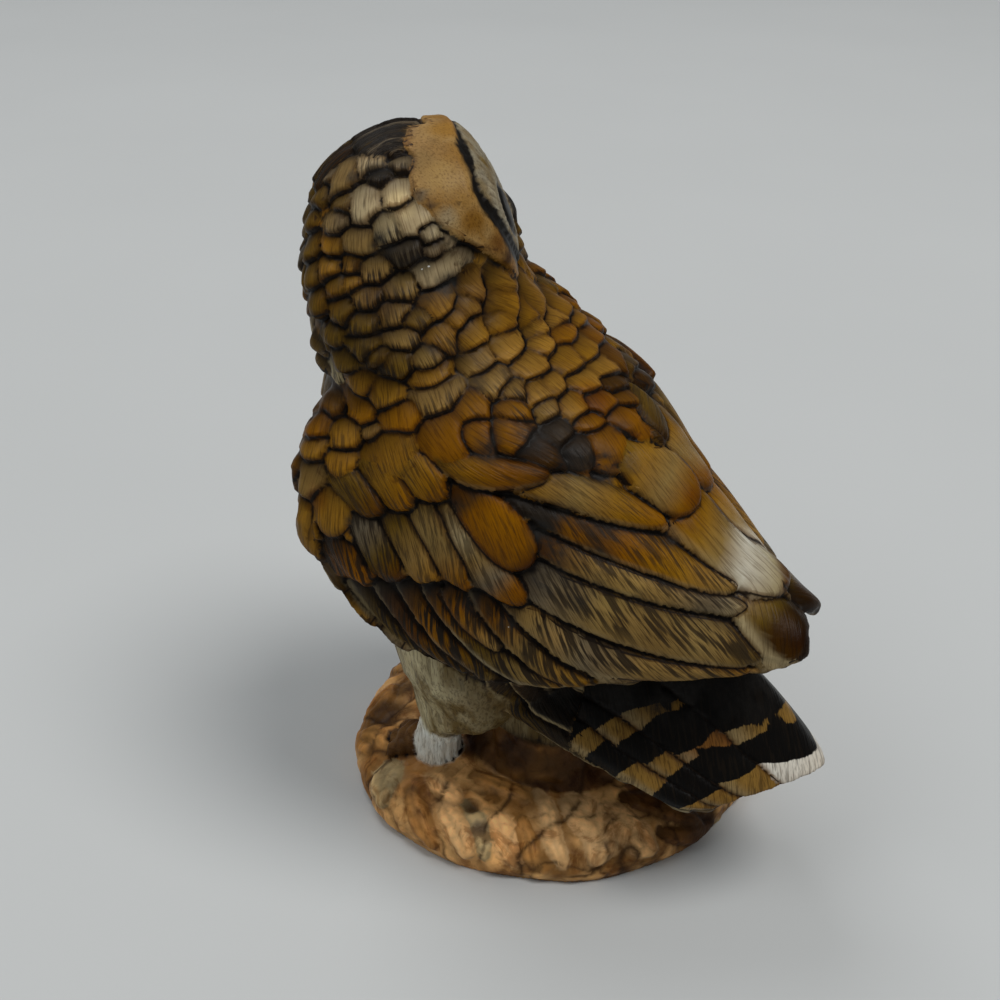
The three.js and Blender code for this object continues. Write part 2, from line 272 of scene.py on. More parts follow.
def beak(t, th):
    r = mix(2.7, 0.35, t ** 1.3)
    s = NOSE - 2.4 + 2.4 * np.sin(math.pi * 0.62 * t)
    return head_at(s + r * np.cos(th), r * 0.8 * np.sin(th), 0.5 - BEAK * t + 0 * th)


def rock(t, th):
    k, h = np.moveaxis(along(ROCK, t), -1, 0)
    wave = 1 + 0.012 * np.sin(3 * th + 0.6) + 0.010 * np.sin(5 * th + 2.1) + 0.006 * np.sin(11 * th)
    x, y = ROCK_LONG * k * wave * np.cos(th), ROCK_SHORT * k * wave * np.sin(th)
    c, s = math.cos(ROCK_TURN), math.sin(ROCK_TURN)
    return np.stack([ROCK_C[0] + x * c - y * s, ROCK_C[1] + x * s + y * c, np.clip(h, 0, ROCK_TOP) + 0 * th], -1)


def shell(ring, rings, around):
    t = np.linspace(0, 1, rings)[:, None]
    th = (2 * math.pi * np.arange(around) / around)[None, :]
    p = ring(t + 0 * th, th + 0 * t)
    v = np.vstack([p[0].mean(0), p.reshape(-1, 3), p[-1].mean(0)])
    idx = 1 + np.arange(rings * around).reshape(rings, around)
    a, b = idx[:-1], np.roll(idx, -1, 1)[:-1]
    c, d = np.roll(idx, -1, 1)[1:], idx[1:]
    tri = [np.stack([a, b, c], -1).reshape(-1, 3), np.stack([a, c, d], -1).reshape(-1, 3)]
    last = len(v) - 1
    tri.append(np.stack([0 * idx[0], np.roll(idx[0], -1), idx[0]], -1))
    tri.append(np.stack([0 * idx[0] + last, idx[-1], np.roll(idx[-1], -1)], -1))
    return v, np.vstack(tri)


EYES = [head_at(RIM - 1.4, k * EYE_APART, 0.4) for k in (1, -1)]
SHELLS = [
    ("torso", shell(torso, 90, 160)), ("neck", shell(neck, 50, 140)), ("mound", shell(mound, 40, 90)),
    ("wing_l", shell(wing(1), 130, 130)), ("wing_r", shell(wing(-1), 130, 130)),
    ("tail", shell(tail, 90, 120)), ("leg", shell(leg(1), 60, 60)), ("leg", shell(leg(-1), 60, 60)),
    ("head", shell(head, 120, 120)), ("beak", shell(beak, 24, 28)), ("rock", shell(rock, 60, 200)),
    ("eye", shell(ball(EYES[0], EYE_R), 30, 40)), ("eye", shell(ball(EYES[1], EYE_R), 30, 40))]
for side in (1, -1):
    for turn in (-22, 8, 38):
        SHELLS.append(("toe", shell(toe(side, turn), 20, 26)))
PARTS = ["torso", "neck", "mound", "wing_l", "wing_r", "tail", "leg", "head", "beak", "rock", "eye", "toe"]

allv, allf, face_part, n = [], [], [], 0
for name, (v, f) in SHELLS:
    allv.append(v)
    allf.append(f + n)
    face_part += [PARTS.index(name)] * len(f)
    n += len(v)
allv, allf, face_part = np.vstack(allv), np.vstack(allf), np.array(face_part)


def mesh_from(name, v, f):
    m = bpy.data.meshes.new(name)
    k = f.shape[1]
    m.vertices.add(len(v))
    m.vertices.foreach_set("co", np.asarray(v, np.float32).ravel())
    m.loops.add(f.size)
    m.loops.foreach_set("vertex_index", f.astype(np.int32).ravel())
    m.polygons.add(len(f))
    m.polygons.foreach_set("loop_start", np.arange(0, f.size, k, dtype=np.int32))
    m.update(calc_edges=True)
    m.validate()
    return m


def modified(v, f, kind, **settings):
    """The mesh after one modifier, as arrays of points and triangles or quads."""
    m = mesh_from("work", v, f)
    o = bpy.data.objects.new("work", m)
    bpy.context.scene.collection.objects.link(o)
    mod = o.modifiers.new("work", kind)
    for k, val in settings.items():
        setattr(mod, k, val)
    e = o.evaluated_get(bpy.context.evaluated_depsgraph_get())
    r = e.to_mesh()
    co = np.empty(len(r.vertices) * 3, np.float32)
    r.vertices.foreach_get("co", co)
    li = np.empty(len(r.loops), np.int32)
    r.loops.foreach_get("vertex_index", li)
    tot = np.empty(len(r.polygons), np.int32)
    r.polygons.foreach_get("loop_total", tot)
    e.to_mesh_clear()
    bpy.data.objects.remove(o)
    bpy.data.meshes.remove(m)
    return co.reshape(-1, 3).astype(float), li.reshape(-1, int(tot[0])) if (tot == tot[0]).all() else (li, tot)


V, Q = modified(allv, allf, "REMESH", mode="VOXEL", voxel_size=PITCH, adaptivity=0.0, use_smooth_shade=False)


def edges_of(f):
    k = f.shape[1]
    e = np.vstack([f[:, [i, (i + 1) % k]] for i in range(k)])
    e = np.sort(e, 1)
    return np.unique(e, axis=0)


def largest(v, f):
    """Keeps only the largest connected body of the mesh."""
    e = edges_of(f)
    lab = np.arange(len(v))
    while True:
        m = np.minimum(lab[e[:, 0]], lab[e[:, 1]])
        new = lab.copy()
        np.minimum.at(new, e[:, 0], m)
        np.minimum.at(new, e[:, 1], m)
        new = new[new]
        new = new[new]
        if (new == lab).all():
            break
        lab = new
    vals, counts = np.unique(lab, return_counts=True)
    keep = lab == vals[counts.argmax()]
    idx = np.cumsum(keep) - 1
    return v[keep], idx[f[keep[f[:, 0]]]]


V, Q = largest(V, Q)
E = edges_of(Q)
DEG = np.bincount(E.ravel(), minlength=len(V)).astype(float)


def average(x):
    """Mean of each point's neighbours."""
    x = np.asarray(x, float)
    cols = x.reshape(len(x), -1)
    out = np.empty_like(cols)
    for c in range(cols.shape[1]):
        out[:, c] = (np.bincount(E[:, 0], cols[E[:, 1], c], len(x))
                     + np.bincount(E[:, 1], cols[E[:, 0], c], len(x))) / DEG
    return out.reshape(x.shape)


def relax(x, times, k=0.5):
    for _ in range(times):
        x = x + (average(x) - x) * k
    return x


def normals(v, f):
    if f.shape[1] == 4:
        n = np.cross(v[f[:, 2]] - v[f[:, 0]], v[f[:, 3]] - v[f[:, 1]])
    else:
        n = np.cross(v[f[:, 1]] - v[f[:, 0]], v[f[:, 2]] - v[f[:, 0]])
    out = np.zeros_like(v)
    for c in range(3):
        for k in range(f.shape[1]):
            out[:, c] += np.bincount(f[:, k], n[:, c], len(v))
    return unit(out)


# soften the joints between the pieces of the form, and keep the foot flat
foot = V[:, 2] < 0.8
V0 = V.copy()
V = relax(V, 14, 0.5)
soft = relax(V, 30, 0.5)             # the rim of the face is worn round
k = (V - HC) @ FACE
k = np.exp(-((k - RIM) / 2.2) ** 2) * (np.linalg.norm(V - HC, axis=1) < 27) * (np.hypot((V - HC) @ FLEFT, (V - HC) @ FUP) > 12.5)
V = V + (soft - V) * k[:, None]
V[foot] = V0[foot]
V[foot, 2] = np.where(V[foot, 2] < 0.35, 0.0, V[foot, 2])
N = normals(V, Q)
if N[np.argmax(V[:, 2])][2] < 0:
    N = -N
    Q = Q[:, ::-1]
N = unit(relax(N, 4))

source = BVHTree.FromPolygons(allv.tolist(), allf.tolist())
PART = np.empty(len(V), int)
for i, p in enumerate(V.tolist()):
    PART[i] = face_part[source.find_nearest(p)[2]]
part = {p: PART == PARTS.index(p) for p in PARTS}
surface = BVHTree.FromPolygons(V.tolist(), Q.tolist())
tree = KDTree(len(V))
for i, p in enumerate(V.tolist()):
    tree.insert(p, i)
tree.balance()
print("form", len(V), "points", {p: int(m.sum()) for p, m in part.items()})


def hit(u, v):
    """The point of the form seen at a place in the picture, or None."""
    co, nor, _, _ = surface.ray_cast(Vector(EYE), Vector(ray(u, v)))
    return None if co is None else np.array(co)


def rest_on(p):
    """The nearest point of the form, and its smooth normal."""
    co, _, _, _ = surface.find_nearest(Vector(p))
    _, i, _ = tree.find(co)
    return np.array(co), N[i]


# local place on the head: ahead, left, up
HQ = V - HC
HS, HL, HW = HQ @ FACE, HQ @ FLEFT, HQ @ FUP

# ------------------------------------------------------------------ colours
OCH = (0.25, 0.120, 0.009)
TAN = (0.245, 0.155, 0.046)
PAL = (0.46, 0.36, 0.20)
ORG = (0.215, 0.080, 0.0008)
GLD = (0.31, 0.160, 0.020)
DOR = (0.09, 0.032, 0.002)
BRN = (0.040, 0.016, 0.002)
OLV = (0.105, 0.060, 0.005)
GRY = (0.15, 0.12, 0.075)
CHR = (0.022, 0.017, 0.012)
BLK = (0.0035, 0.003, 0.0025)
CRM = (0.36, 0.29, 0.155)
WHT = (0.58, 0.54, 0.43)
BLU = (0.62, 0.64, 0.58)

# ------------------------------------------------------------------ feathers
FEATHERS = []


class Feather:
    def __init__(self, pts, wl, wr, cols, **k):
        """pts: places on the form from root to tip; wl, wr: half widths on the
        left and right of the way; cols: (place, colour) stops along it."""
        p = np.array(pts)
        m = max(6, min(26, int(np.linalg.norm(np.diff(p, axis=0), axis=1).sum() / 1.6)))
        t = np.linspace(0, 1, m)
        if len(p) > 2:
            c = along(np.hstack([p, np.array([wl, wr]).T]), t)
        else:
            c = p[0] + (p[-1] - p[0]) * t[:, None]
            c = np.hstack([c, mix(wl[0], wl[-1], t)[:, None], mix(wr[0], wr[-1], t)[:, None]])
        at = [rest_on(q[:3]) for q in c]
        self.p = np.array([a[0] for a in at])
        self.n = unit(np.array([a[1] for a in at]))
        self.wl, self.wr = np.maximum(c[:, 3], 0.3), np.maximum(c[:, 4], 0.3)
        seg = np.linalg.norm(np.diff(self.p, axis=0), axis=1)
        self.s = np.concatenate([[0], np.cumsum(seg)])
        self.L = max(self.s[-1], 0.5)
        tan = unit(np.gradient(self.p, axis=0))
        self.b = unit(np.cross(self.n, tan))
        self.t = unit(np.cross(self.b, self.n))
        self.cols = cols
        self.rise = k.get("rise", 0.95)
        self.lift = k.get("lift", 0.0)
        self.dome = k.get("dome", 0.4)
        self.tilt = k.get("tilt", 0.0)          # lower side stands up: + left, - right
        self.slant = k.get("slant", 0.0)        # angle of the barbs to the shaft, signed to a side
        self.fine = k.get("fine", (1.0, 0.25))  # streaks across and along, per millimetre
        self.streak = k.get("streak", 0.6)
        self.round = k.get("round", 1.0)        # length of the round tip in half widths
        self.jit = k.get("jit", 0.09)
        self.skew = k.get("skew", 0.0)          # how far the bars across it lean
        self.side = k.get("side", 0)            # +1 owl's left half, -1 right half, 0 both
        self.gloss = k.get("gloss", 0.0)
        self.vis = k.get("vis", 0.57) * self.L      # length left open by the scales above it
        self.shaft = k.get("shaft", 0.0)
        self.edge = k.get("edge", None)         # (colour, side) of a pale border
        self.kind = k.get("kind", "scale")
        self.id = len(FEATHERS)
        self.tone = RNG.normal(0, 1, 3)
        self.r = self.L * 0.5 + max(self.wl.max(), self.wr.max()) + 1.5
        self.c = self.p.mean(0)
        FEATHERS.append(self)

    def frame(self, P):
        """Place along the shaft, signed distance beside it, and above it."""
        a, d = self.p[:-1], np.diff(self.p, axis=0)
        ll = (d * d).sum(1)
        best = np.full(len(P), 1e9)
        S, T, H, K = (np.zeros(len(P)) for _ in range(4))
        m = len(a)
        for i in range(m):
            q = P - a[i]
            k = (q @ d[i]) / ll[i]
            lo, hi = (-9 if i == 0 else 0), (9 if i == m - 1 else 1)
            k = np.clip(k, lo, hi)
            off = q - k[:, None] * d[i]
            dist = (off * off).sum(1)
            u = dist < best
            best[u] = dist[u]
            kk = np.clip(k[u], 0, 1)
            b = self.b[i] + (self.b[i + 1] - self.b[i]) * kk[:, None]
            nn = self.n[i] + (self.n[i + 1] - self.n[i]) * kk[:, None]
            T[u] = (off[u] * b).sum(1)
            H[u] = (off[u] * nn).sum(1)
            S[u] = self.s[i] + k[u] * math.sqrt(ll[i])
        return S, T, H

    def width(self, S, T):
        """Half width of the vane on the side of each point, with a round tip."""
        w = np.where(T > 0, np.interp(S, self.s, self.wl), np.interp(S, self.s, self.wr))
        cap = self.round * w
        x = np.clip((S - (self.L - cap)) / np.maximum(cap, 1e-3), 0, 1)
        w = w * np.sqrt(np.maximum(1 - x * x, 0))
        x = np.clip(1 - S / np.maximum(0.9 * w + 0.2, 0.3), 0, 1)
        return np.maximum(w * np.sqrt(np.maximum(1 - 0.5 * x * x, 0)), 1e-3)

    def height(self, P):
        S, T, H = self.frame(P)
        w = self.width(S, T)
        e = np.abs(T) / w
        inside = (e < 1) & (S > 0) & (S < self.L) & (np.abs(H) < 4.5)
        x = S / self.L
        d = np.minimum((1 - e) * w, (self.L - S) * 1.2)
        side = np.clip(T / w, -1, 1) * np.sign(self.tilt) if self.tilt else 0
        h = self.lift + self.rise * x ** 0.9 + abs(self.tilt) * side \
            + self.dome * (1 - e ** 2.6) * smooth(0, 0.35, x) - self.dome * 0.9 * np.exp(-np.maximum(d, 0) / 0.55)
        if self.shaft:
            h = h + self.shaft * np.exp(-(T / 0.45) ** 2) * smooth(0.02, 0.2, x) * smooth(1.0, 0.8, x)
        if self.kind == "leaf":
            vein = np.abs(((S + .9 * np.abs(T)) / 2.7 + .3 * np.sin(T)) % 1 - .5) * 2
            h = h - .42 * np.exp(-(T / .4) ** 2) - .34 * smooth(.35, 0, vein) * smooth(0, .5, e)
        return inside, h, S, T


    def claim(self, P):
        """How far each point is from the middle of a scale, 1 at its edge, and
        the height of the scale there."""
        S, T, H = self.frame(P)
        w = np.maximum(np.where(T > 0, np.interp(S, self.s, self.wl), np.interp(S, self.s, self.wr)), .3)
        a = self.vis / 2
        s = (S - (self.L - a)) / a
        e = np.abs(T) / w
        g = np.where(s > 0, np.sqrt(e * e + (.86 * s) ** 2), (e ** 4 + (1.12 * s) ** 4) ** .25)
        x = np.clip((s + 1) / 2, 0, 1)
        h = self.lift + self.rise * x ** 0.9 + self.dome * (1 - np.minimum(e, 1.15) ** 2.4) * smooth(-.3, .5, x)
        h = h - .35 * self.rise * smooth(.72, 1.0, g) * (s > 0)
        return np.where(np.abs(H) < 4.5, g, 9.0), h


    def outline(self, P):
        """Signed distance inside the feather's edge."""
        S, T, H = self.frame(P)
        w = np.maximum(np.where(T > 0, np.interp(S, self.s, self.wl), np.interp(S, self.s, self.wr)), .3)
        cap = self.round * w
        q = (S - (self.L - cap)) / cap
        tip = (1 - np.sqrt((T / w) ** 2 + np.maximum(q, 0) ** 2)) * np.minimum(w, cap)
        return np.where(q > 0, tip, w - np.abs(T))


def swap(x):
    return -x if x else x


def px_feather(path, cols, mirror=False, **k):
    """A feather drawn in the picture: (u, v, half width) from root to tip."""
    pts, wl, wr = [], [], []
    path = np.array(path, float)
    d = np.gradient(path[:, :2], axis=0)
    for (u, v, w), (du, dv) in zip(path, d):
        q = hit(u, v)
        if q is None:
            continue
        _, nq = rest_on(q)
        z = (q - EYE) @ FWD / FOCAL
        ln = math.hypot(du, dv) or 1.0
        side = []
        for sgn in (1, -1):      # picture normal: left of the way, then right
            nu, nv = sgn * dv / ln, sgn * -du / ln
            r = hit(u + nu * w, v + nv * w)
            flat = w * z
            dist = flat if r is None else np.linalg.norm(r - q)
            side.append(min(max(dist, flat * 0.9), flat * 1.8))
        pts.append(q)
        wl.append(side[0])
        wr.append(side[1])
    if len(pts) < 2:
        return None
    if mirror:
        k = dict(k, side=1)
    f = Feather(pts, wl, wr, cols, **k)
    if mirror:
        mp = [np.array([-p[0], p[1], p[2]]) for p in pts]
        k = dict(k)
        k["tilt"] = swap(k.get("tilt", 0.0))
        k["slant"] = swap(k.get("slant", 0.0))
        k["skew"] = -k.get("skew", 0.0)
        k["side"] = -1
        k["lift"] = k.get("lift", 0.0) - 0.25
        if "edge" in k and k["edge"]:
            k["edge"] = (k["edge"][0], -k["edge"][1])
        Feather(mp, wr, wl, cols, **k)
    return f


# direction of growth over the body, mirrored about the middle plane
FLOW = [
    ([0, -8, 110], [0, .75, -.66]), ([0, 5, 103], [0, .85, -.55]), ([0, 20, 92], [0, .85, -.55]),
    ([8, 30, 84], [0, .9, -.5]), ([14, -12, 108], [.15, .75, -.65]), ([24, -20, 103], [.2, .45, -.87]),
    ([27, -35, 100], [.15, .15, -1]), ([33, -32, 88], [.15, .25, -1]), ([37, -25, 76], [0, .45, -.9]),
    ([38, -10, 66], [-.05, .75, -.65]), ([36, 5, 60], [-.2, .9, -.4]), ([0, -50, 100], [0, -.05, -1]),
    ([15, -46, 90], [0, .1, -1]), ([28, -38, 70], [0, .25, -1]), ([15, -42, 62], [0, .3, -1]),
    ([0, -43, 60], [0, .3, -1]), ([25, -20, 45], [-.1, .5, -.85]), ([25, 0, 45], [-.2, .8, -.5]),
    ([12, 25, 45], [0, .9, -.4]), ([0, 30, 50], [0, .9, -.4])]
FLOW_P = np.array([p for p, _ in FLOW], float)
FLOW_D = unit(np.array([d for _, d in FLOW], float))


def flow(P, nrm, on_head):
    Q2 = np.abs(P * np.array([1, 0, 0])) + P * np.array([0, 1, 1])
    d2 = ((Q2[:, None, :] - FLOW_P[None]) ** 2).sum(-1)
    w = 1 / (d2 + 40) ** 2
    D = (w[..., None] * FLOW_D[None]).sum(1)
    D[:, 0] *= np.sign(P[:, 0])
    D = unit(D)
    Dh = unit(-0.7 * FACE + np.array([0, 0, -1.0]))
    D = np.where(on_head[:, None], Dh, D)
    D = D - (D * nrm).sum(1, keepdims=True) * nrm
    return unit(D)


# wing feathers: (path in the picture), colour stops, ways of carving
LONG = dict(kind="long", slant=-0.62, fine=(1.0, 0.10), round=1.3, dome=0.45)


def stops(*a):
    return [(a[i], a[i + 1]) for i in range(0, len(a), 2)]


def wings():
    L = dict(LONG, mirror=True)
    # the fan under the coverts, lowest first
    px_feather([(352, 588, 5), (385, 628, 6), (425, 660, 7), (470, 682, 6), (490, 689, 4)],
               stops(0, CHR, .3, OLV, 1, CRM), **dict(L, lift=-.5, tilt=-.25, rise=.4, streak=1.0, edge=(CRM, -1)))
    px_feather([(378, 590, 7), (419, 644, 8), (469, 677, 8), (507, 688, 5)],
               stops(0, CHR, .25, DOR, .5, OLV, 1, CRM), **dict(L, lift=-.3, tilt=-.3, rise=.5, streak=1.0, edge=(CRM, -1)))
    px_feather([(402, 588, 9), (439, 641, 9), (486, 677, 9), (531, 689, 5)],
               stops(0, CHR, .2, ORG, .5, OLV, 1, CRM), **dict(L, lift=-.1, tilt=-.35, rise=.5, streak=1.0, edge=(CRM, -1)))
    px_feather([(428, 588, 11), (468, 639, 11), (516, 674, 11), (564, 687, 5)],
               stops(0, CHR, .2, ORG, .45, OLV, .8, TAN, 1, OCH), **dict(L, lift=.1, tilt=-.4, rise=.5, streak=.95, edge=(CRM, -1)))
    px_feather([(444, 588, 8), (466, 622, 9), (500, 652, 5)],
               stops(0, CHR, .3, ORG, 1, TAN), **dict(L, lift=.45, tilt=-.3, rise=.4, streak=.9))
    px_feather([(480, 594, 12), (515, 641, 12), (553, 674, 10), (588, 685, 5)],
               stops(0, CHR, .2, ORG, .5, TAN, 1, OCH), **dict(L, lift=.25, tilt=-.4, rise=.5, streak=.9))
    px_feather([(505, 590, 14), (545, 628, 17), (590, 655, 18), (645, 668, 14), (705, 671, 9), (750, 670, 5)],
               stops(0, CHR, .15, TAN, .35, GRY, .6, TAN, .85, TAN, 1, OCH),
               **dict(L, lift=.3, tilt=-.4, rise=.6, streak=.9, shaft=.12))
    # the long feathers along the wing, lower over higher index
    px_feather([(515, 570, 16), (560, 592, 25), (612, 614, 27), (667, 632, 26), (718, 643, 24), (762, 656, 14)],
               stops(0, CHR, .12, GRY, .35, TAN, .6, TAN, .85, TAN, 1, OLV),
               **dict(L, lift=.55, tilt=-.45, rise=.6, streak=.85, shaft=.12))
    px_feather([(530, 535, 10), (560, 552, 15), (613, 574, 16), (667, 592, 14), (715, 601, 13), (748, 606, 8)],
               stops(0, CHR, .1, DOR, .3, TAN, .6, TAN, .85, GRY, 1, CRM),
               **dict(L, lift=.85, tilt=-.45, rise=.6, streak=.8, shaft=.1))
    px_feather([(505, 500, 8), (560, 523, 12), (600, 537, 17), (650, 553, 20), (700, 576, 15), (736, 588, 8)],
               stops(0, CHR, .2, CHR, .3, ORG, .42, CHR, .5, ORG, .75, OCH, 1, TAN),
               **dict(L, lift=1.15, tilt=-.45, rise=.6, streak=.75, shaft=.1))
    # the wing's tip
    px_feather([(728, 583, 12), (752, 604, 24), (775, 630, 31), (796, 658, 24), (803, 672, 12)],
               stops(0, CRM, .25, TAN, .5, OLV, .62, BRN, 1, BRN),
               **dict(L, lift=.95, tilt=-.1, rise=.9, streak=.3, edge=(CRM, -1), round=1.0, gloss=.6, dome=.6, kind="tip"))
    # coverts over the fan
    C = dict(kind="covert", slant=-0.35, fine=(1.15, 0.13), mirror=True, round=1.15, dome=.6, rise=1.0)
    px_feather([(322, 516, 8), (333, 537, 11), (348, 560, 11), (362, 580, 7)], stops(0, CHR, .4, BRN, 1, ORG), **dict(C, lift=.6, streak=.9))
    px_feather([(350, 498, 12), (364, 525, 16), (380, 552, 16), (394, 577, 10)], stops(0, CHR, .4, GRY, .7, OLV, 1, DOR), **dict(C, lift=.75, streak=.8))
    px_feather([(380, 500, 13), (400, 528, 17), (418, 556, 17), (433, 582, 10)], stops(0, CHR, .3, OLV, .7, TAN, 1, OCH), **dict(C, lift=.9, streak=.6))
    px_feather([(408, 495, 13), (428, 523, 17), (446, 553, 17), (462, 584, 10)], stops(0, OLV, .3, TAN, .6, TAN, 1, ORG), **dict(C, lift=1.05, streak=.6))
    px_feather([(436, 503, 12), (458, 533, 17), (481, 562, 19), (505, 587, 16), (526, 603, 8)],
               stops(0, OLV, .3, CRM, .5, TAN, .7, GRY, .85, ORG, 1, DOR), **dict(C, lift=1.15, streak=.6, rise=.9))
    px_feather([(455, 486, 12), (478, 510, 24), (503, 537, 28), (530, 567, 20)],
               stops(0, DOR, .15, CHR, .28, ORG, .55, ORG, .8, ORG, .92, DOR, 1, (.03, .006, .003)),
               **dict(C, lift=1.3, streak=.35, rise=1.0, gloss=.25))
    px_feather([(328, 466, 11), (352, 486, 16), (373, 504, 15), (384, 513, 9)], stops(0, OLV, .5, OLV, 1, DOR), **dict(C, lift=1.35, streak=.6))
    px_feather([(362, 460, 13), (384, 478, 18), (403, 496, 17), (414, 507, 10)], stops(0, OLV, .5, OCH, 1, ORG), **dict(C, lift=1.5, streak=.6))
    px_feather([(395, 455, 13), (415, 471, 18), (434, 487, 17), (446, 499, 10)], stops(0, OLV, .5, OCH, 1, ORG), **dict(C, lift=1.6, streak=.5))
    # scapulars above the long groove
    S = dict(kind="scapular", slant=-0.4, fine=(1.2, 0.11), mirror=True, round=1.25, dome=.6, rise=.9)
    px_feather([(490, 474, 10), (530, 482, 15), (575, 493, 19), (620, 507, 18), (664, 524, 9)],
               stops(0, ORG, .2, OCH, .45, TAN, .7, OCH, 1, ORG), **dict(S, lift=1.35, streak=.45, tilt=-.3))
    px_feather([(436, 455, 8), (462, 468, 15), (495, 474, 17), (525, 475, 13), (548, 475, 6)],
               stops(0, OLV, .25, OCH, .6, ORG, 1, DOR), **dict(S, lift=1.9, streak=.5, tilt=-.2))
    px_feather([(664, 492, 14), (690, 514, 26), (722, 538, 32), (754, 561, 31), (786, 583, 20)],
               stops(0, OLV, .12, ORG, .3, OCH, .45, TAN, .62, WHT, .84, CRM, .92, DOR, 1, BRN),
               **dict(S, lift=1.5, streak=.22, tilt=-.1, gloss=.5, dome=.9, round=.9, fine=(.9, .08)))
    px_feather([(612, 448, 12), (638, 467, 22), (665, 486, 25), (694, 507, 19)],
               stops(0, OLV, .3, OCH, .6, TAN, .85, ORG, 1, DOR), **dict(S, lift=2.0, streak=.25, gloss=.3, round=.9))
    px_feather([(658, 412, 10), (678, 433, 20), (698, 457, 24), (716, 482, 19)],
               stops(0, OLV, .3, TAN, .6, TAN, .85, ORG, 1, BRN), **dict(S, lift=2.1, streak=.25, gloss=.3, round=.9))
    px_feather([(632, 380, 8), (642, 402, 10), (652, 424, 10), (660, 444, 6)],
               stops(0, OLV, .5, OLV, 1, BRN), **dict(S, lift=1.8, streak=.5))


# scales read from the picture: u, v of the middle, width, height, colour, streaks
SCALES = [
    (369, 160, 34, 22, PAL, .7), (400, 164, 24, 18, GRY, .7), (380, 177, 30, 17, CHR, 1.), (345, 174, 24, 26, TAN, .3),
    (397, 196, 28, 38, PAL, .12), (364, 203, 31, 38, PAL, .6), (343, 203, 22, 22, OLV, .6), (410, 217, 44, 27, PAL, .15),
    (335, 220, 24, 24, GRY, .6), (390, 227, 35, 27, CRM, .9), (357, 239, 35, 27, TAN, .4), (331, 244, 24, 22, OCH, .3),
    (428, 232, 20, 15, PAL, .5), (404, 250, 38, 18, CHR, 1.), (433, 249, 19, 12, GRY, .5), (433, 271, 39, 22, PAL, .4),
    (374, 269, 32, 23, TAN, .9), (352, 263, 21, 20, OCH, .7), (329, 265, 21, 24, OCH, .4), (400, 288, 33, 24, TAN, .8),
    (367, 296, 31, 22, TAN, .9), (353, 282, 20, 18, OCH, .7), (336, 286, 20, 20, OLV, .5), (343, 309, 25, 24, OLV, .6),
    (395, 311, 32, 22, TAN, .7), (363, 322, 30, 23, OLV, .8), (438, 303, 39, 20, OCH, .25), (417, 319, 34, 15, OLV, .8),
    (404, 338, 33, 20, TAN, .9), (441, 335, 37, 20, OCH, .7), (365, 345, 31, 21, OLV, .8), (333, 332, 18, 20, OLV, .5),
    (380, 356, 24, 18, OLV, .8), (397, 361, 35, 24, OLV, .9), (428, 357, 31, 24, TAN, .8), (345, 360, 22, 20, OLV, .5),
    (431, 377, 43, 22, OCH, .4), (437, 396, 51, 30, TAN, .8), (363, 382, 28, 22, OCH, .4), (387, 392, 38, 27, OCH, .5),
    (336, 402, 27, 25, DOR, .3), (362, 409, 30, 28, ORG, .4), (403, 418, 42, 32, ORG, .25), (347, 434, 33, 33, OCH, .6),
    (319, 429, 21, 24, ORG, .3), (373, 431, 19, 16, TAN, .3), (443, 434, 43, 38, ORG, .2), (475, 433, 33, 24, ORG, .4),
    (393, 449, 54, 34, OCH, .5), (342, 460, 33, 26, OCH, .6), (315, 448, 23, 24, OCH, .5), (311, 477, 25, 36, TAN, .2),
    (333, 507, 37, 46, OCH, .5), (305, 507, 14, 30, OCH, .4), (508, 433, 48, 20, ORG, .5), (470, 408, 37, 22, ORG, .5),
    (510, 410, 34, 19, ORG, .8), (492, 381, 35, 24, TAN, .6), (512, 392, 33, 17, TAN, .8), (538, 392, 35, 26, GLD, .3),
    (528, 367, 34, 25, GLD, .15), (538, 346, 29, 19, GLD, .2), (564, 360, 34, 20, OCH, .3), (471, 288, 25, 18, OCH, .2),
    (465, 305, 28, 16, OCH, .2), (498, 282, 32, 14, OCH, .2), (500, 300, 36, 20, OCH, .15), (530, 300, 34, 13, OCH, .2),
    (526, 314, 32, 13, OCH, .3), (560, 309, 26, 12, OCH, .2), (576, 320, 22, 11, OCH, .2), (555, 323, 32, 12, GLD, .3),
    (562, 335, 34, 15, ORG, .2), (591, 336, 34, 16, ORG, .2), (583, 349, 36, 19, OCH, .2), (607, 353, 34, 20, DOR, .3),
    (600, 368, 34, 17, GLD, .2), (583, 383, 32, 22, GLD, .15), (611, 384, 28, 14, BRN, .4), (570, 406, 32, 24, GLD, .15),
    (598, 403, 27, 25, ORG, .1), (622, 399, 22, 16, DOR, .3), (621, 419, 27, 22, ORG, .1), (604, 441, 37, 28, ORG, .1),
    (589, 423, 28, 20, ORG, .1), (548, 386, 28, 22, GLD, .2), (546, 408, 24, 18, TAN, .4), (627, 362, 22, 18, OLV, .3),
    (478, 360, 34, 20, TAN, .4), (470, 335, 34, 20, OCH, .2), (500, 322, 34, 14, OCH, .2), (505, 345, 36, 22, GLD, .15),
    (455, 318, 30, 14, OCH, .3), (535, 330, 34, 12, GLD, .2), (640, 375, 18, 16, BRN, .3), (556, 432, 30, 16, CHR, .5),
    (536, 452, 40, 16, BRN, .6), (578, 447, 30, 18, CHR, .5), (318, 393, 22, 22, DOR, .3), (322, 372, 18, 18, OLV, .4),
    (316, 345, 16, 20, OLV, .4), (316, 300, 16, 22, OLV, .3), (311, 275, 14, 24, OLV, .3), (310, 245, 16, 24, OLV, .2),
    (309, 215, 16, 26, OLV, .2), (318, 190, 18, 26, OLV, .3), (330, 172, 20, 22, GRY, .4), (300, 455, 10, 26, DOR, .3)]

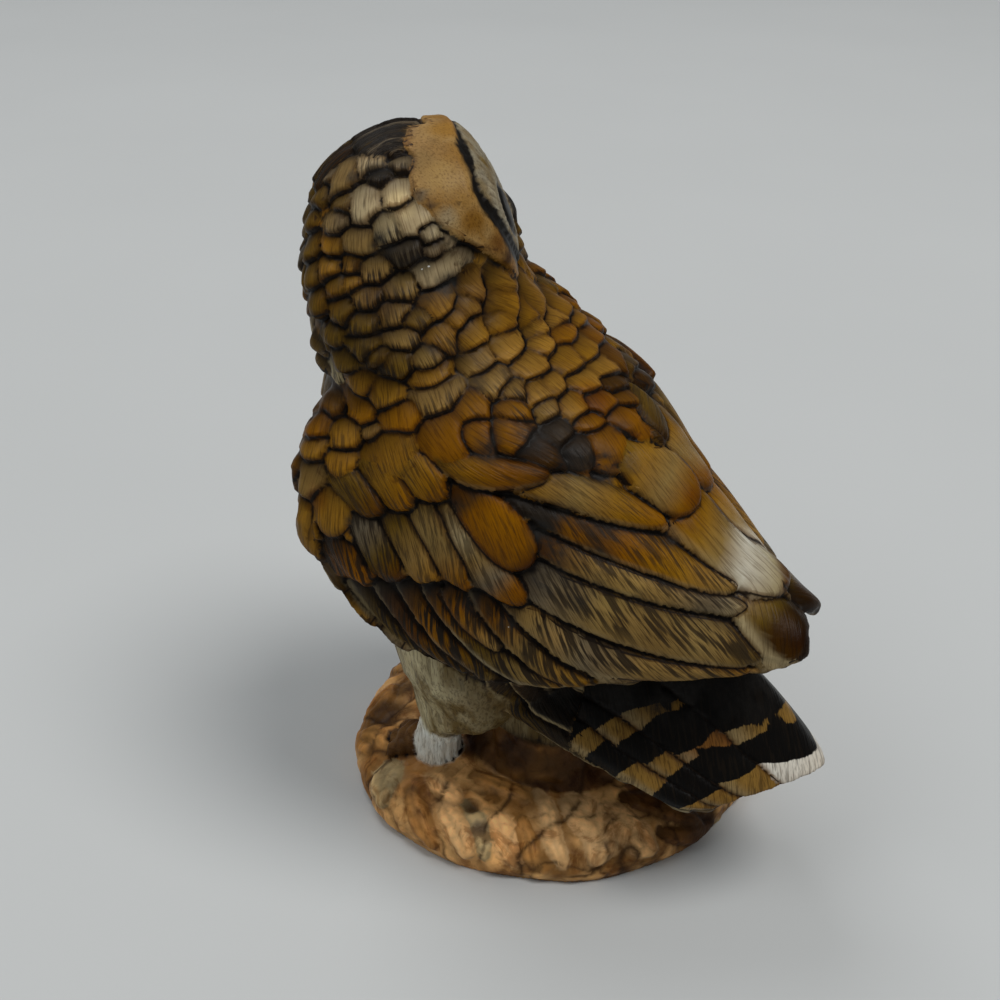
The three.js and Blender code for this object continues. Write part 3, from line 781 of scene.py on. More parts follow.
# way of growth in the picture, as an angle from rightwards to downwards
TURN = np.array([
    (340, 170, 105), (370, 200, 88), (340, 250, 90), (400, 230, 72), (430, 270, 78), (370, 300, 82), (340, 330, 90),
    (500, 290, 28), (440, 300, 60), (480, 340, 45), (540, 310, 30), (560, 350, 38), (600, 350, 38), (620, 400, 55),
    (600, 440, 62), (540, 400, 50), (500, 400, 55), (440, 400, 72), (400, 410, 78), (350, 400, 88), (320, 430, 98),
    (310, 480, 100), (350, 440, 88), (400, 450, 70), (450, 430, 55), (480, 430, 35), (520, 435, 22), (330, 510, 88)], float)


def turn_at(u, v):
    w = 1 / (((TURN[:, 0] - u) ** 2 + (TURN[:, 1] - v) ** 2) + 60) ** 1.5
    a = np.radians(TURN[:, 2])
    return math.atan2((w * np.sin(a)).sum(), (w * np.cos(a)).sum())


def edges_and_crown():
    # what shows of the right wing along the picture's right edge
    px_feather([(664, 402, 5), (684, 417, 8), (700, 432, 9), (710, 445, 7)], stops(0, OLV, .4, OLV, 1, BRN),
               lift=3.3, rise=1.2, dome=.9, streak=.3, round=.9, gloss=.3, kind="tip")
    px_feather([(718, 486, 6), (748, 518, 7), (778, 552, 7), (806, 584, 6)], stops(0, BRN, .4, OLV, 1, BRN),
               lift=1.8, rise=.5, dome=.4, streak=.8, slant=-.1, fine=(1.2, .07), kind="long")
    px_feather([(800, 566, 6), (814, 582, 8), (819, 598, 7)], stops(0, OLV, .5, OLV, 1, BRN),
               lift=1.7, rise=.9, dome=.7, streak=.3, gloss=.4, kind="tip")
    px_feather([(808, 596, 6), (818, 610, 8), (820, 626, 6)], stops(0, BRN, .5, BRN, 1, (.03, .012, .004)),
               lift=1.5, rise=.9, dome=.7, streak=.3, gloss=.4, kind="tip")
    # streaky dark crown behind the brow
    for i, (path, c) in enumerate((
            (((421, 118), (398, 120), (374, 129), (352, 143)), CHR), (((420, 121), (398, 124), (375, 133), (353, 147)), GRY),
            (((416, 125), (395, 128), (374, 137), (354, 151)), CHR), (((413, 129), (394, 132), (375, 141), (357, 154)), OLV),
            (((410, 133), (393, 136), (376, 145), (360, 158)), CHR), (((407, 138), (392, 141), (380, 147), (367, 158)), GRY),
            (((405, 143), (393, 146), (383, 152), (374, 160)), CHR), (((404, 148), (395, 152), (388, 157)), GRY),
            (((374, 129), (352, 141), (333, 158), (318, 180)), OLV), (((362, 140), (343, 154), (327, 172), (316, 192)), BRN),
            (((350, 142), (330, 160), (314, 184)), OLV))):
        w = 3.2 if i < 8 else 6
        px_feather([(*q, w) for q in path], stops(0, c, 1, c), lift=1.9, rise=.5, dome=.3,
                   streak=1.0, fine=(1.6, .1), kind="plume")
    # black and cream feathers of the flank, under the wing
    F = dict(kind="long", slant=-.55, fine=(1.5, .11), dome=.4, rise=.4, mirror=True, streak=1.0)
    px_feather([(432, 660, 4), (456, 684, 6), (482, 710, 7), (508, 736, 6), (530, 750, 4)],
               stops(0, OLV, .3, OLV, .6, BRN, 1, CHR), **dict(F, lift=.1, tilt=-.3, edge=(CRM, -1)))
    px_feather([(452, 664, 5), (482, 692, 8), (516, 722, 8), (548, 746, 8), (580, 758, 5)],
               stops(0, OLV, .3, CHR, .5, OLV, .8, BRN, 1, CHR), **dict(F, lift=.3, tilt=-.35, edge=(CRM, -1)))
    px_feather([(474, 676, 6), (510, 704, 9), (548, 730, 9), (588, 756, 9), (622, 772, 5)],
               stops(0, OLV, .3, CHR, .5, OLV, .75, CHR, 1, OLV), **dict(F, lift=.5, tilt=-.35, edge=(CRM, -1)))
    px_feather([(500, 682, 7), (535, 702, 9), (570, 724, 8), (600, 744, 6)],
               stops(0, CHR, .3, BRN, .6, CHR, 1, BLK), **dict(F, lift=.75, tilt=-.35, edge=(CRM, -1)))


def scales():
    for u, v, w, h, col, st in SCALES:
        a = turn_at(u, v)
        du, dv = math.cos(a), math.sin(a)
        # the picture's width and height, along and across the way of growth
        across = abs(w * dv) * .5 + abs(h * du) * .5
        length = abs(w * du) + abs(h * dv)
        tip = np.array([u + du * length * .5, v + dv * length * .5])
        root = tip - np.array([du, dv]) * length * 1.75
        path = [(*(root + (tip - root) * k), across * m) for k, m in ((0, .75), (.35, .95), (.7, 1), (1, .9))]
        # the root is painted dark: painted shade under the tip of the scale above
        root_shade_c = tuple(x * .45 for x in col)
        px_feather(path, stops(0, root_shade_c, .4, root_shade_c, .62, col, 1, col), rise=1.15, lift=1.0, dome=.55, streak=st,
                   fine=(1.0, .10), round=1.0, jit=.05, kind="key", vis=.571)


def fill(where, half, length, cols, spacing=1.0, **k):
    """Staggered feathers over a region that the picture's own don't cover."""
    idx = np.nonzero(where)[0]
    if not len(idx):
        return
    order = RNG.permutation(idx)[: max(4000, len(idx) // 3)]
    P, NN = V[order], N[order]
    D = flow(P, NN, part["head"][order])
    B = np.cross(NN, D)
    got = []
    gp, gd, gb = np.zeros((0, 3)), np.zeros((0, 3)), np.zeros((0, 3))
    for i in range(len(order)):
        if len(gp):
            q = P[i] - gp
            m = (q * q).sum(1) < (3 * length) ** 2
            if m.any():
                q = q[m]
                x = (q * gd[m]).sum(1) / (0.58 * length * spacing)
                y = (q * gb[m]).sum(1) / (1.45 * half * spacing)
                if (x * x + y * y < 1).any():
                    continue
        gp = np.vstack([gp, P[i]])
        gd = np.vstack([gd, D[i]])
        gb = np.vstack([gb, B[i]])
        got.append(i)
    for i in got:
        p, d = P[i], D[i]
        j = 1 + RNG.normal(0, .08)
        pts = [p - d * length * .62 * j, p - d * length * .2 * j, p + d * length * .38 * j]
        w = half * (1 + RNG.normal(0, .1))
        c = cols(p) if callable(cols) else cols[int(RNG.integers(len(cols)))]
        # the root is painted dark: painted shade under the tip of the scale above
        root_shade_c = tuple(x * .45 for x in c)
        Feather(pts, [w * .8, w, w * .9], [w * .8, w, w * .9], stops(0, root_shade_c, .35, root_shade_c, .6, c, 1, c), **dict(dict(kind="scale", vis=.62), **k))


wings()
edges_and_crown()
scales()


# tail: four long feathers on each side of the ridge, found by their place
# along (t) and away from the ridge (v); the edges and bars are read in the picture
GT, GV = np.linspace(0, 1, 220), np.linspace(0, 1, 90)
gt, gv = (x.ravel() for x in np.meshgrid(GT, GV, indexing="ij"))
tail_tree = KDTree(2 * len(gt))
for k, u in enumerate((gv * .3, 1 - gv * .3)):
    for i, q in enumerate(tail(gt, 2 * math.pi * u).tolist()):
        tail_tree.insert(q, i + k * len(gt))
tail_tree.balance()


def tail_at(P):
    i = np.array([tail_tree.find(q)[1] for q in np.asarray(P).tolist()]) % len(gt)
    return gt[i], gv[i]


def tail_line(path):
    q = [hit(u, v) for u, v in path]
    return tail_at([p for p in q if p is not None])


def by_t(path):
    t, v = tail_line(path)
    o = np.argsort(t)
    return t[o], v[o]


def by_v(path):
    t, v = tail_line(path)
    o = np.argsort(v)
    return v[o], t[o]


SPLITS = [by_t(x) for x in (
    [(690, 703), (704, 718), (723, 732), (737, 749), (756, 762), (771, 775), (787, 786)],
    [(621, 714), (643, 729), (664, 745), (686, 760), (701, 773), (723, 786), (738, 795)],
    [(571, 703), (597, 723), (623, 744), (647, 760), (675, 779), (700, 793), (716, 805)])]
BAR = (.25, .14, .030)
TIP = (.80, .77, .68)
BARS = [
    [([(724, 732), (736, 729), (772, 717), (781, 706)], BAR), ([(738, 744), (745, 741), (763, 731), (778, 724), (794, 722)], BLK),
     ([(763, 763), (782, 762), (793, 760), (804, 757), (813, 752)], TIP)],
    [([(625, 712), (649, 705), (678, 699)], BAR), ([(643, 727), (656, 716), (682, 708)], BLK),
     ([(682, 753), (702, 745), (708, 736)], (.20, .085, .02)), ([(693, 760), (704, 749), (730, 747)], BLK),
     ([(723, 782), (734, 781), (750, 771), (757, 765)], BAR)],
    [([(606, 723), (618, 716)], BAR), ([(621, 741), (632, 733)], BLK), ([(657, 758), (665, 753)], BAR),
     ([(668, 776), (677, 771)], BLK), ([(709, 796), (720, 789)], BAR)],
    [([(575, 738), (584, 731)], BAR), ([(590, 752), (602, 745)], BLK), ([(622, 772), (635, 764)], BAR),
     ([(655, 792), (663, 785)], BLK), ([(680, 810), (694, 803)], BAR)]]
BARS = [[(*by_v(path), c) for path, c in row] for row in BARS]


def tail_paint(P):
    """Feather number 0..3 from the ridge, place across it, colour."""
    t, v = tail_at(P)
    t = t + .012 * (noise(P * 1.1, 51) - .5)
    cut = np.stack([np.interp(t, a, b) for a, b in SPLITS])
    cut = np.maximum.accumulate(cut + np.array([[0], [.02], [.04]]), 0)
    k = (v[None] > cut).sum(0)
    lo = np.vstack([0 * v[None], cut])[k, np.arange(len(v))]
    hi = np.vstack([cut, 0 * v[None] + 1])[k, np.arange(len(v))]
    e = np.clip((v - lo) / np.maximum(hi - lo, .02), 0, 1)
    c = np.zeros((len(v), 3)) + np.array(BAR)
    bar = np.full(len(v), -1.0)
    for n, row in enumerate(BARS):
        m = np.nonzero(k == n)[0]
        best, pale, before = np.full(len(m), 1.0), np.zeros(len(m), bool), BLK
        for bv, bt, col in row:
            d = t[m] - np.interp(v[m], bv, bt)
            if (col is BLK) != (before is BLK):
                near = np.abs(d) < best
                best[near] = np.abs(d)[near]
                c[m[near]] = before if col is BLK else col
            pale = np.where(d > 0, col is not BLK, pale)
            before = col
        bar[m] = np.where(pale, best, -best)
    warm = (c[:, 0] > .1) & (c[:, 0] < .5)
    c[warm] = mix(c[warm], np.array(CRM), (.6 * smooth(.55, .95, e[warm]))[:, None])
    gap = np.minimum(np.where(k > 0, v - lo, 9), np.where(k < 3, hi - v, 9))
    return k, e, c, gap, bar


for f in FEATHERS:
    f.key = True
KEYS = list(FEATHERS)

# height of each point's topmost feather
TOP = np.full(len(V), -1)
HT = np.zeros(len(V))
SECOND = np.zeros(len(V))

GB = np.full(len(V), 9.0)
GW = np.full(len(V), -1)


def near_to(f, allowed):
    near = (np.abs(V - f.c) < f.r).all(1)
    if f.side > 0:
        near &= V[:, 0] > -7
    elif f.side < 0:
        near &= V[:, 0] < 1.0
    idx = np.nonzero(near & allowed)[0]
    nn = f.n.mean(0)
    return idx[(N[idx] @ (nn / np.linalg.norm(nn))) > 0.1]


def lay_scales(some, allowed, reach):
    """Scales share out the points among them; each point goes to the nearest."""
    for f in some:
        idx = near_to(f, allowed)
        if not len(idx):
            continue
        g, _ = f.claim(V[idx])
        u = g < GB[idx]
        GB[idx[u]] = g[u]
        GW[idx[u]] = f.id
    for f in some:
        idx = np.nonzero((GW == f.id) & allowed & (GB < reach))[0]
        if not len(idx):
            continue
        g, h = f.claim(V[idx])
        h = h + .012 * ((f.id * 7) % 5)
        up = (TOP[idx] < 0) | ((h > HT[idx]) & (g < 1.1))
        HT[idx[up]] = h[up]
        TOP[idx[up]] = f.id


def lay(f, allowed=None):
    d = V - f.c
    near = (np.abs(d) < f.r).all(1)
    if f.side > 0:
        near &= V[:, 0] > -7
    elif f.side < 0:
        near &= V[:, 0] < 1.0
    idx = np.nonzero(near)[0]
    if allowed is not None:
        idx = idx[allowed[idx]]
    if not len(idx):
        return
    nn = f.n.mean(0)
    idx = idx[(N[idx] @ (nn / np.linalg.norm(nn))) > 0.1]
    if not len(idx):
        return
    ins, h, S, T = f.height(V[idx])
    i = idx[ins]
    h = h[ins] + 0.02 * ((f.id * 7) % 5)
    up = (TOP[i] < 0) | (h > HT[i])
    HT[i[up]] = h[up]
    TOP[i[up]] = f.id


plumage = part["torso"] | part["neck"] | part["wing_l"] | part["wing_r"] | part["tail"] | part["head"]
# the face: its lines are read on the side that shows, as an angle off the way
# it looks against the angle round it, and are the same on its other side
PHI, LAM = np.arctan2(HW, np.abs(HL)), np.arctan2(np.hypot(HL, HW), HS)


def face_line(path):
    q = [hit(u, v) for u, v in path]
    q = np.array([[(p - HC) @ FACE, (p - HC) @ FLEFT, (p - HC) @ FUP] for p in q if p is not None])
    a, b = np.arctan2(q[:, 2], np.abs(q[:, 1])), np.arctan2(np.hypot(q[:, 1], q[:, 2]), q[:, 0])
    o = np.argsort(a)
    return a[o], b[o]


CHEEK = face_line([(424, 119), (408, 126), (403, 140), (404, 147), (414, 157), (409, 169), (410, 183), (411, 195), (420, 204),
                   (431, 213), (436, 221), (455, 236), (472, 244), (482, 250), (493, 258), (507, 266)])
BAND_OUT = face_line([(455, 125), (457, 134), (455, 146), (462, 157), (469, 174), (472, 188), (479, 207), (488, 217), (498, 231),
                      (507, 248), (515, 263)])
BAND_IN = face_line([(471, 133), (468, 146), (473, 158), (476, 172), (481, 189), (488, 200), (497, 210), (505, 224), (512, 236),
                     (518, 248), (520, 258)])
thr = np.interp(PHI, *CHEEK)
thr = np.where(HL > 0, np.minimum(thr, CHEEK[1][-1] + .02), thr)
band_o, band_i = np.interp(PHI, *BAND_OUT), np.interp(PHI, *BAND_IN)
cheek_zone = part["head"] & (LAM < thr)
disc_zone = part["head"] & (LAM < (band_o + band_i) / 2)
cheek_zone &= ~disc_zone
face_zone = cheek_zone | disc_zone
leg_zone = part["leg"] | ((part["mound"] | part["torso"]) & (V[:, 2] > 22) & (V[:, 2] < 40) & (V[:, 1] > -34))
scaly = plumage & ~face_zone
for f in KEYS:
    if f.kind != "key":
        lay(f, scaly)
lay_scales([f for f in KEYS if f.kind == "key"], scaly, 1.45)
tz = part["tail"] & (N[:, 2] > -0.3) & (V[:, 1] > 16)
TAIL_ID = -2 - np.arange(4)
tk, te, *_ = tail_paint(V[tz])
HT[tz] = 1.6 - .28 * tk + .35 * (1 - (2 * te - 1) ** 2) - .25 * te
TOP[tz] = TAIL_ID[tk]
# the long feathers close up over the slits between them
grow = (part["wing_l"] | part["wing_r"] | part["tail"]) & (N[:, 2] > -0.5)
for _ in range(9):
    a, b = E[:, 0], E[:, 1]
    for x, y in ((a, b), (b, a)):
        m = (TOP[x] >= 0) & (TOP[y] == -1) & grow[y]
        TOP[y[m]] = TOP[x[m]]
        HT[y[m]] = HT[x[m]] - .04
covered = TOP != -1
leg_zone &= ~covered
open_ = scaly & ~covered & ~leg_zone


def outer_wing(m):
    return m & (N[:, 2] > -0.35)


# plain feathers over all that the picture doesn't show
below = V[:, 2] < 52
front = V[:, 1] < -30
free = open_.copy()


def back_colour(p):
    k = RNG.random()
    if p[2] > 118:
        return OLV if k < .5 else OCH if k < .8 else GRY
    if p[2] < 64 and p[1] > -30:
        return OLV if k < .4 else GRY if k < .7 else CRM
    return OCH if k < .35 else ORG if k < .6 else GLD if k < .75 else OLV


def breast_colour(p):
    k = RNG.random()
    return TAN if k < .45 else OCH if k < .7 else CRM if k < .9 else OLV


fill(free & part["head"], 2.9, 8.0, back_colour, rise=1.1, lift=.2, dome=.5, streak=.6, fine=(1.05, .22))
rest = free & ~part["head"]
breast = rest & (V[:, 1] < -34 + np.abs(V[:, 0]) * .35) & (V[:, 2] < 112)
fill(breast, 3.6, 10.0, breast_colour, rise=1.0, lift=.2, dome=.4, streak=.75, fine=(.9, .2))
belly = rest & ~breast & (V[:, 2] < 56)
fill(belly, 3.2, 12.0, back_colour, rise=.9, lift=-.2, dome=.35, streak=.8, fine=(.8, .14))
upper = rest & ~breast & ~belly
fill(upper, 3.1, 8.6, back_colour, rise=1.1, lift=.2, dome=.5, streak=.6, fine=(1.05, .22))
for f in FEATHERS[len(KEYS):]:
    f.key = False
GB[:] = 9.0
GW[:] = -1
lay_scales(FEATHERS[len(KEYS):], open_, 3.5)
print("feathers", len(KEYS), len(FEATHERS))

# neighbours share their colours, as paint laid over many feathers at once does
sc = [f for f in FEATHERS if f.kind in ("key", "scale")]
cc = np.array([f.c for f in sc])
col = np.array([f.cols[-1][1] for f in sc])
w = np.exp(-((cc[:, None] - cc[None]) ** 2).sum(-1) / (2 * 5.0 ** 2))
avg = (w @ col) / w.sum(1)[:, None]
for f, own, a in zip(sc, col, avg):
    k = .88 if own[1] > .2 or own[0] < .06 else .66
    c = tuple(own * k + a * (1 - k))
    # the root is painted dark, as painted shade under the tip of the scale above
    r = tuple(x * .26 for x in c)
    f.cols = stops(0, r, .46, r, .80, c, 1, c)

# rock: worn leaves lie over it; those that the picture shows, then others
N_PLUME = len(FEATHERS)
LTAN, LBRN, LGRY, LDRK = (.64, .39, .17), (.33, .165, .048), (.40, .30, .15), (.11, .048, .013)
LEAVES = [
    ([(562, 798, 8), (582, 812, 19), (600, 836, 21), (592, 866, 9)], LTAN), ([(598, 806, 8), (622, 824, 17), (642, 843, 15), (655, 852, 6)], LTAN),
    ([(536, 790, 5), (549, 812, 9), (552, 838, 11), (566, 868, 6)], LTAN), ([(520, 868, 6), (508, 846, 14), (500, 826, 14), (496, 812, 7)], LTAN),
    ([(537, 872, 5), (531, 852, 11), (524, 832, 10), (521, 816, 5)], LBRN), ([(440, 800, 6), (450, 818, 12), (462, 838, 12), (470, 858, 6)], LTAN),
    ([(470, 773, 5), (490, 783, 9), (512, 791, 9), (530, 801, 4)], LBRN), ([(398, 760, 8), (389, 774, 14), (384, 790, 11), (386, 808, 5)], LGRY),
    ([(410, 788, 6), (416, 808, 10), (425, 828, 11), (438, 848, 5)], LBRN), ([(370, 742, 5), (363, 754, 9), (360, 770, 6)], LBRN),
    ([(428, 772, 6), (440, 783, 12), (453, 795, 10), (463, 803, 4)], LTAN), ([(618, 796, 5), (650, 806, 10), (680, 816, 8), (702, 824, 4)], LDRK),
    ([(364, 732, 5), (371, 716, 9), (384, 700, 8), (398, 686, 4)], LBRN), ([(404, 742, 5), (392, 736, 9), (376, 734, 8), (364, 738, 4)], LBRN),
    ([(462, 800, 4), (478, 822, 9), (484, 842, 9), (484, 860, 4)], LGRY), ([(655, 830, 5), (676, 836, 9), (694, 832, 7), (712, 822, 4)], LDRK)]
for path, c in LEAVES:
    d = tuple(x * .55 for x in c)
    px_feather(path, stops(0, d, .3, c, .8, c, 1, d), rise=.35, lift=.55, dome=.75, jit=.06, kind="leaf", streak=0, round=.8)
seen = [f.c for f in FEATHERS[N_PLUME:]]
for i in range(70):
    a, r = RNG.uniform(0, 2 * math.pi), RNG.uniform(.35, .96)
    base = rock(np.array([.62 - .62 * r]) , np.array([a]))[0]
    base, nb = rest_on(base)
    if min(np.linalg.norm(base - q) for q in seen) < 11 or np.hypot(base[0], base[1]) < 20 and base[2] > 14:
        continue
    seen.append(base)
    out = unit(np.array([base[0] - ROCK_C[0], base[1] - ROCK_C[1], -4.0]))
    turn = RNG.normal(0, .9)
    out = out * math.cos(turn) + np.cross(nb, out) * math.sin(turn)
    ln, w = RNG.uniform(9, 15), RNG.uniform(2.4, 4.2)
    c = (LTAN, LBRN, LBRN, LGRY, LDRK)[int(RNG.integers(5))]
    d = tuple(x * .55 for x in c)
    Feather([base - out * ln * .5, base, base + out * ln * .5], [w * .5, w, w * .4], [w * .5, w, w * .4],
            stops(0, d, .3, c, .8, c, 1, d), rise=.3, lift=.5, dome=.65, jit=.08, kind="leaf", streak=0, round=.9)
rk = part["rock"] | part["mound"] & (V[:, 2] <= 24) & ~leg_zone
for f in FEATHERS[N_PLUME:]:
    f.key = False
    lay(f, rk)
n0 = len(FEATHERS)

# ------------------------------------------------------------------ relief of the rest
drop = np.where(HS > -30, 1.15 + .75 * part["head"] + .35 * part["neck"], 1.15)
H = np.where(TOP != -1, HT - relax(drop, 12), 0.0)
H[rk] = 0
level = np.where(TOP != -1, HT, 1.3)
GROOVE = np.zeros(len(V))
ea, eb = E[TOP[E[:, 0]] != TOP[E[:, 1]]].T
step = np.abs(level[ea] - level[eb])
weak = .22 + .78 * smooth(.15, .85, step)
weak = np.where((TOP[ea] < -1) & (TOP[eb] < -1), 1.0, weak)
kinds = np.array([f.kind for f in FEATHERS] + ["none"])
vane = ~np.isin(kinds, ("key", "scale", "leaf", "plume", "none"))
pair = (TOP[ea] >= 0) & (TOP[eb] >= 0) & vane[TOP[ea]] & vane[TOP[eb]]
weak = np.where(pair, np.maximum(weak, .85), weak)
weak = np.where((TOP[ea] >= N_PLUME) | (TOP[eb] >= N_PLUME), .25, weak)
plume = np.array([f.kind == "plume" for f in FEATHERS])
weak = np.where((TOP[ea] >= 0) & (TOP[eb] >= 0) & plume[TOP[ea]] & plume[TOP[eb]], .3, weak)
weak = np.where(face_zone[ea] & face_zone[eb], 0, weak)
low_a = level[ea] < level[eb]
np.maximum.at(GROOVE, ea, np.where(low_a, 1.0, .25) * weak)
np.maximum.at(GROOVE, eb, np.where(low_a, .25, 1.0) * weak)

# each point's nearest edge between feathers: whose it is, and what lies beside it
owner, beside = np.full(len(V), -9), np.full(len(V), -9)
ring, ink = np.full(len(V), 9), np.zeros(len(V))
flip = ((level[ea] < level[eb]) | (TOP[ea] < 0)) & (TOP[eb] >= 0)
hi, lo = np.where(flip, TOP[eb], TOP[ea]), np.where(flip, TOP[ea], TOP[eb])
for x in (ea, eb):
    owner[x], beside[x], ring[x], ink[x] = hi, lo, 0, weak
for r in range(1, 4):
    for x, y in ((E[:, 0], E[:, 1]), (E[:, 1], E[:, 0])):
        m = (ring[x] == r - 1) & (ring[y] > r)
        owner[y[m]], beside[y[m]], ring[y[m]], ink[y[m]] = owner[x[m]], beside[x[m]], r, ink[x[m]]

# facial disc: fine rays about each eye, a low ridge at the rim
eye_l = [np.hypot(HL - k * EYE_APART, HW - 0.4) for k in (1, -1)]
near = np.minimum(*eye_l)
ang = np.where(eye_l[0] < eye_l[1], np.arctan2(HW - 0.4, HL - EYE_APART), np.arctan2(HW - 0.4, HL + EYE_APART))
disc_r = np.hypot(HL / H_SIDE, HW / H_HIGH)
dz = disc_zone
rays = 0.16 * np.sin(ang * 30 + 2.2 * np.sin(near * .9)) * smooth(EYE_R + .2, EYE_R + 2.2, near)
H[dz] = rays[dz]
H[disc_zone] += (-0.5 * np.exp(-((near - EYE_R - .3) / .5) ** 2))[disc_zone]
ck = cheek_zone
H[ck] = 0.1 + 0.3 * (fbm(V[ck] * 0.35, 3, 5) - .5)
# a groove follows the dark band round the face
mid = (band_o + band_i) / 2
H[face_zone] -= (.35 * np.exp(-((LAM - mid) / .035) ** 2))[face_zone]
H[face_zone] += (.25 * np.exp(-((LAM - band_o - .05) / .05) ** 2))[face_zone]
TOP[face_zone] = -1
# the thighs: long shallow folds of down, closer ones over the foot
fold = fbm(V * np.array([.55, .55, .085]) + 3, 3, 61)
H[leg_zone] = (1.1 * (fold - .5))[leg_zone]
puff = part["leg"] & (V[:, 2] < 20.4 + 5 * (fbm(V * .5, 2, 62) - .5) - .22 * (V[:, 1] + 18))
H[puff] = (.1 + .16 * np.sin(np.arctan2(V[:, 1] + 18, np.abs(V[:, 0]) - 14.4) * 15 + 9 * fold))[puff]
H[part["eye"]] = 0.0

# rock: worn leaf plates, folds that run outwards, a pit and crevices
RX, RY = V[:, 0] - ROCK_C[0], V[:, 1] - ROCK_C[1]
RA, RR = np.arctan2(RY, RX), np.hypot(RX, RY)
n1 = fbm(V * 0.10, 4, 11)
n2 = fbm(V * 0.33 + 5, 3, 12)
w1, w2 = fbm(V * .055 + 21, 3, 14) - .5, fbm(V * .11 + 33, 3, 15) - .5
ways = [(RA * 6.5 + 9 * w1 + .03 * RR, 1.5, 1.0), (RA * 15 + 12 * w2 + .09 * RR, .7, .75),
        (.19 * RR + 8 * w1 + 1.6 * np.sin(RA * 3), 1.0, .9), (RA * 4 - .36 * RR + 10 * w2, .7, .7)]
folds, crease = np.zeros(len(V)), np.zeros(len(V))
for x, deep, dark in ways:
    folds += deep * (np.abs(np.sin(x)) ** .6 - .68)
    crease = np.maximum(crease, dark * np.exp(-(np.sin(x) / .15) ** 2) * smooth(.30, .55, fbm(V * .13 + deep * 40, 2, 16)))
ridged = 1 - np.abs(fbm(V * np.array([.16, .16, .3]) + 9, 3, 13) * 2 - 1) * 2
rock_h = .62 * folds * smooth(8, 20, RR) + .8 * (n1 - .5) + .35 * ridged + .7 * (n2 - .5)
leaf = TOP >= N_PLUME
rock_h = np.where(leaf, .45 * rock_h + HT * .95 - .25, rock_h)
for u, v, r, deep in ((473, 807, 10, 1.6), (480, 829, 8, .5), (410, 720, 10, .8), (556, 786, 7, .6)):
    q = hit(u, v)
    if q is not None:
        rock_h -= deep * smooth(1.2, .3, np.linalg.norm(V - q, axis=1) / (r * ((q - EYE) @ FWD) / FOCAL))
rock_h *= smooth(0.2, 3.0, V[:, 2])
H[rk] = rock_h[rk]
soft = relax(H, 1, .5)
H[rk] = soft[rk]
H[part["beak"]] = 0.0
H[part["toe"]] = 0.25 * np.sin(np.hypot(V[:, 0] - np.sign(V[:, 0]) * 14.2, V[:, 1] + 21) * 3.1)[part["toe"]]
H[V[:, 2] < 0.3] = 0.0

GROOVE[V[:, 2] < .6] = 0
GROOVE[rk] = 0
# the undersides of wings and tail are smooth
under = (part["wing_l"] | part["wing_r"] | part["tail"]) & (N[:, 2] < -.15)
soft = relax(H, 10, .5)
H[under] = soft[under]
GR = relax(GROOVE, 1, .6)
Hs = relax(H, 2, 0.5) - 0.36 * GR
VD = V + N * Hs[:, None]
VD[:, 2] = np.maximum(VD[:, 2], 0.0)
VD[foot & (V[:, 2] <= 0.0), 2] = 0.0

# valleys and ridges of the finished surface, for the dark wash, the painted shade near the feathers' edges and in the
# rock's hollows, and the worn edges
ND = normals(VD, Q)
S1 = relax(VD, 5, .6)
S2 = relax(S1, 26, .6)
fine_c = ((S1 - VD) * ND).sum(1)
wide_c = ((S2 - VD) * ND).sum(1)
CAV = relax(np.maximum(smooth(0.02, 0.16, fine_c) * .6 + smooth(0.06, 0.5, wide_c) * .5, .5 * smooth(.15, .9, GR)), 1, .2)
# a soft dark band along the feathers' edges: partly the wash, partly painted shade for their rounding
EDGE_WASH_AND_SHADE = np.maximum(smooth(.02, .42, relax(GROOVE, 9, .6)), .8 * smooth(.02, .30, relax(GROOVE, 26, .6))) * ~face_zone
RIDGE = smooth(0.02, 0.12, -fine_c)
# on the rock: the dark of its crevices and painted shade in its hollows
CAV[rk] = relax(np.maximum(crease * .85 * smooth(8, 16, RR), .55 * smooth(.10, .75, wide_c)), 1, .4)[rk]
RIDGE[rk] = (smooth(.05, .40, -wide_c) * .8 + smooth(.02, .1, -fine_c) * .4)[rk]

# ------------------------------------------------------------------ final mesh
W, F = modified(VD, Q, "DECIMATE", decimate_type="COLLAPSE", ratio=FACES / (2.0 * len(Q)), use_collapse_triangulate=True)
if isinstance(F, tuple):
    raise SystemExit("mixed faces")
dense = KDTree(len(VD))
for i, p in enumerate(VD.tolist()):
    dense.insert(p, i)
dense.balance()
vert_src = np.array([dense.find(p)[1] for p in W.tolist()])
face_src = np.array([dense.find(p)[1] for p in W[F].mean(1).tolist()])
print("mesh", len(W), len(F))

mesh = mesh_from("owl_casting", W / 1000.0, F)
owl = bpy.data.objects.new("owl_casting", mesh)
bpy.context.scene.collection.objects.link(owl)
mesh.shade_smooth()

nf = len(F)
fa = np.zeros((nf, 3, 3))
tint = np.zeros((nf, 3, 3))
fb = np.zeros((nf, 3, 3))       # streaks, wash and painted shade, gloss
top = TOP[face_src]
corner = W[F]                    # nf, 3, 3
region = PART[face_src]

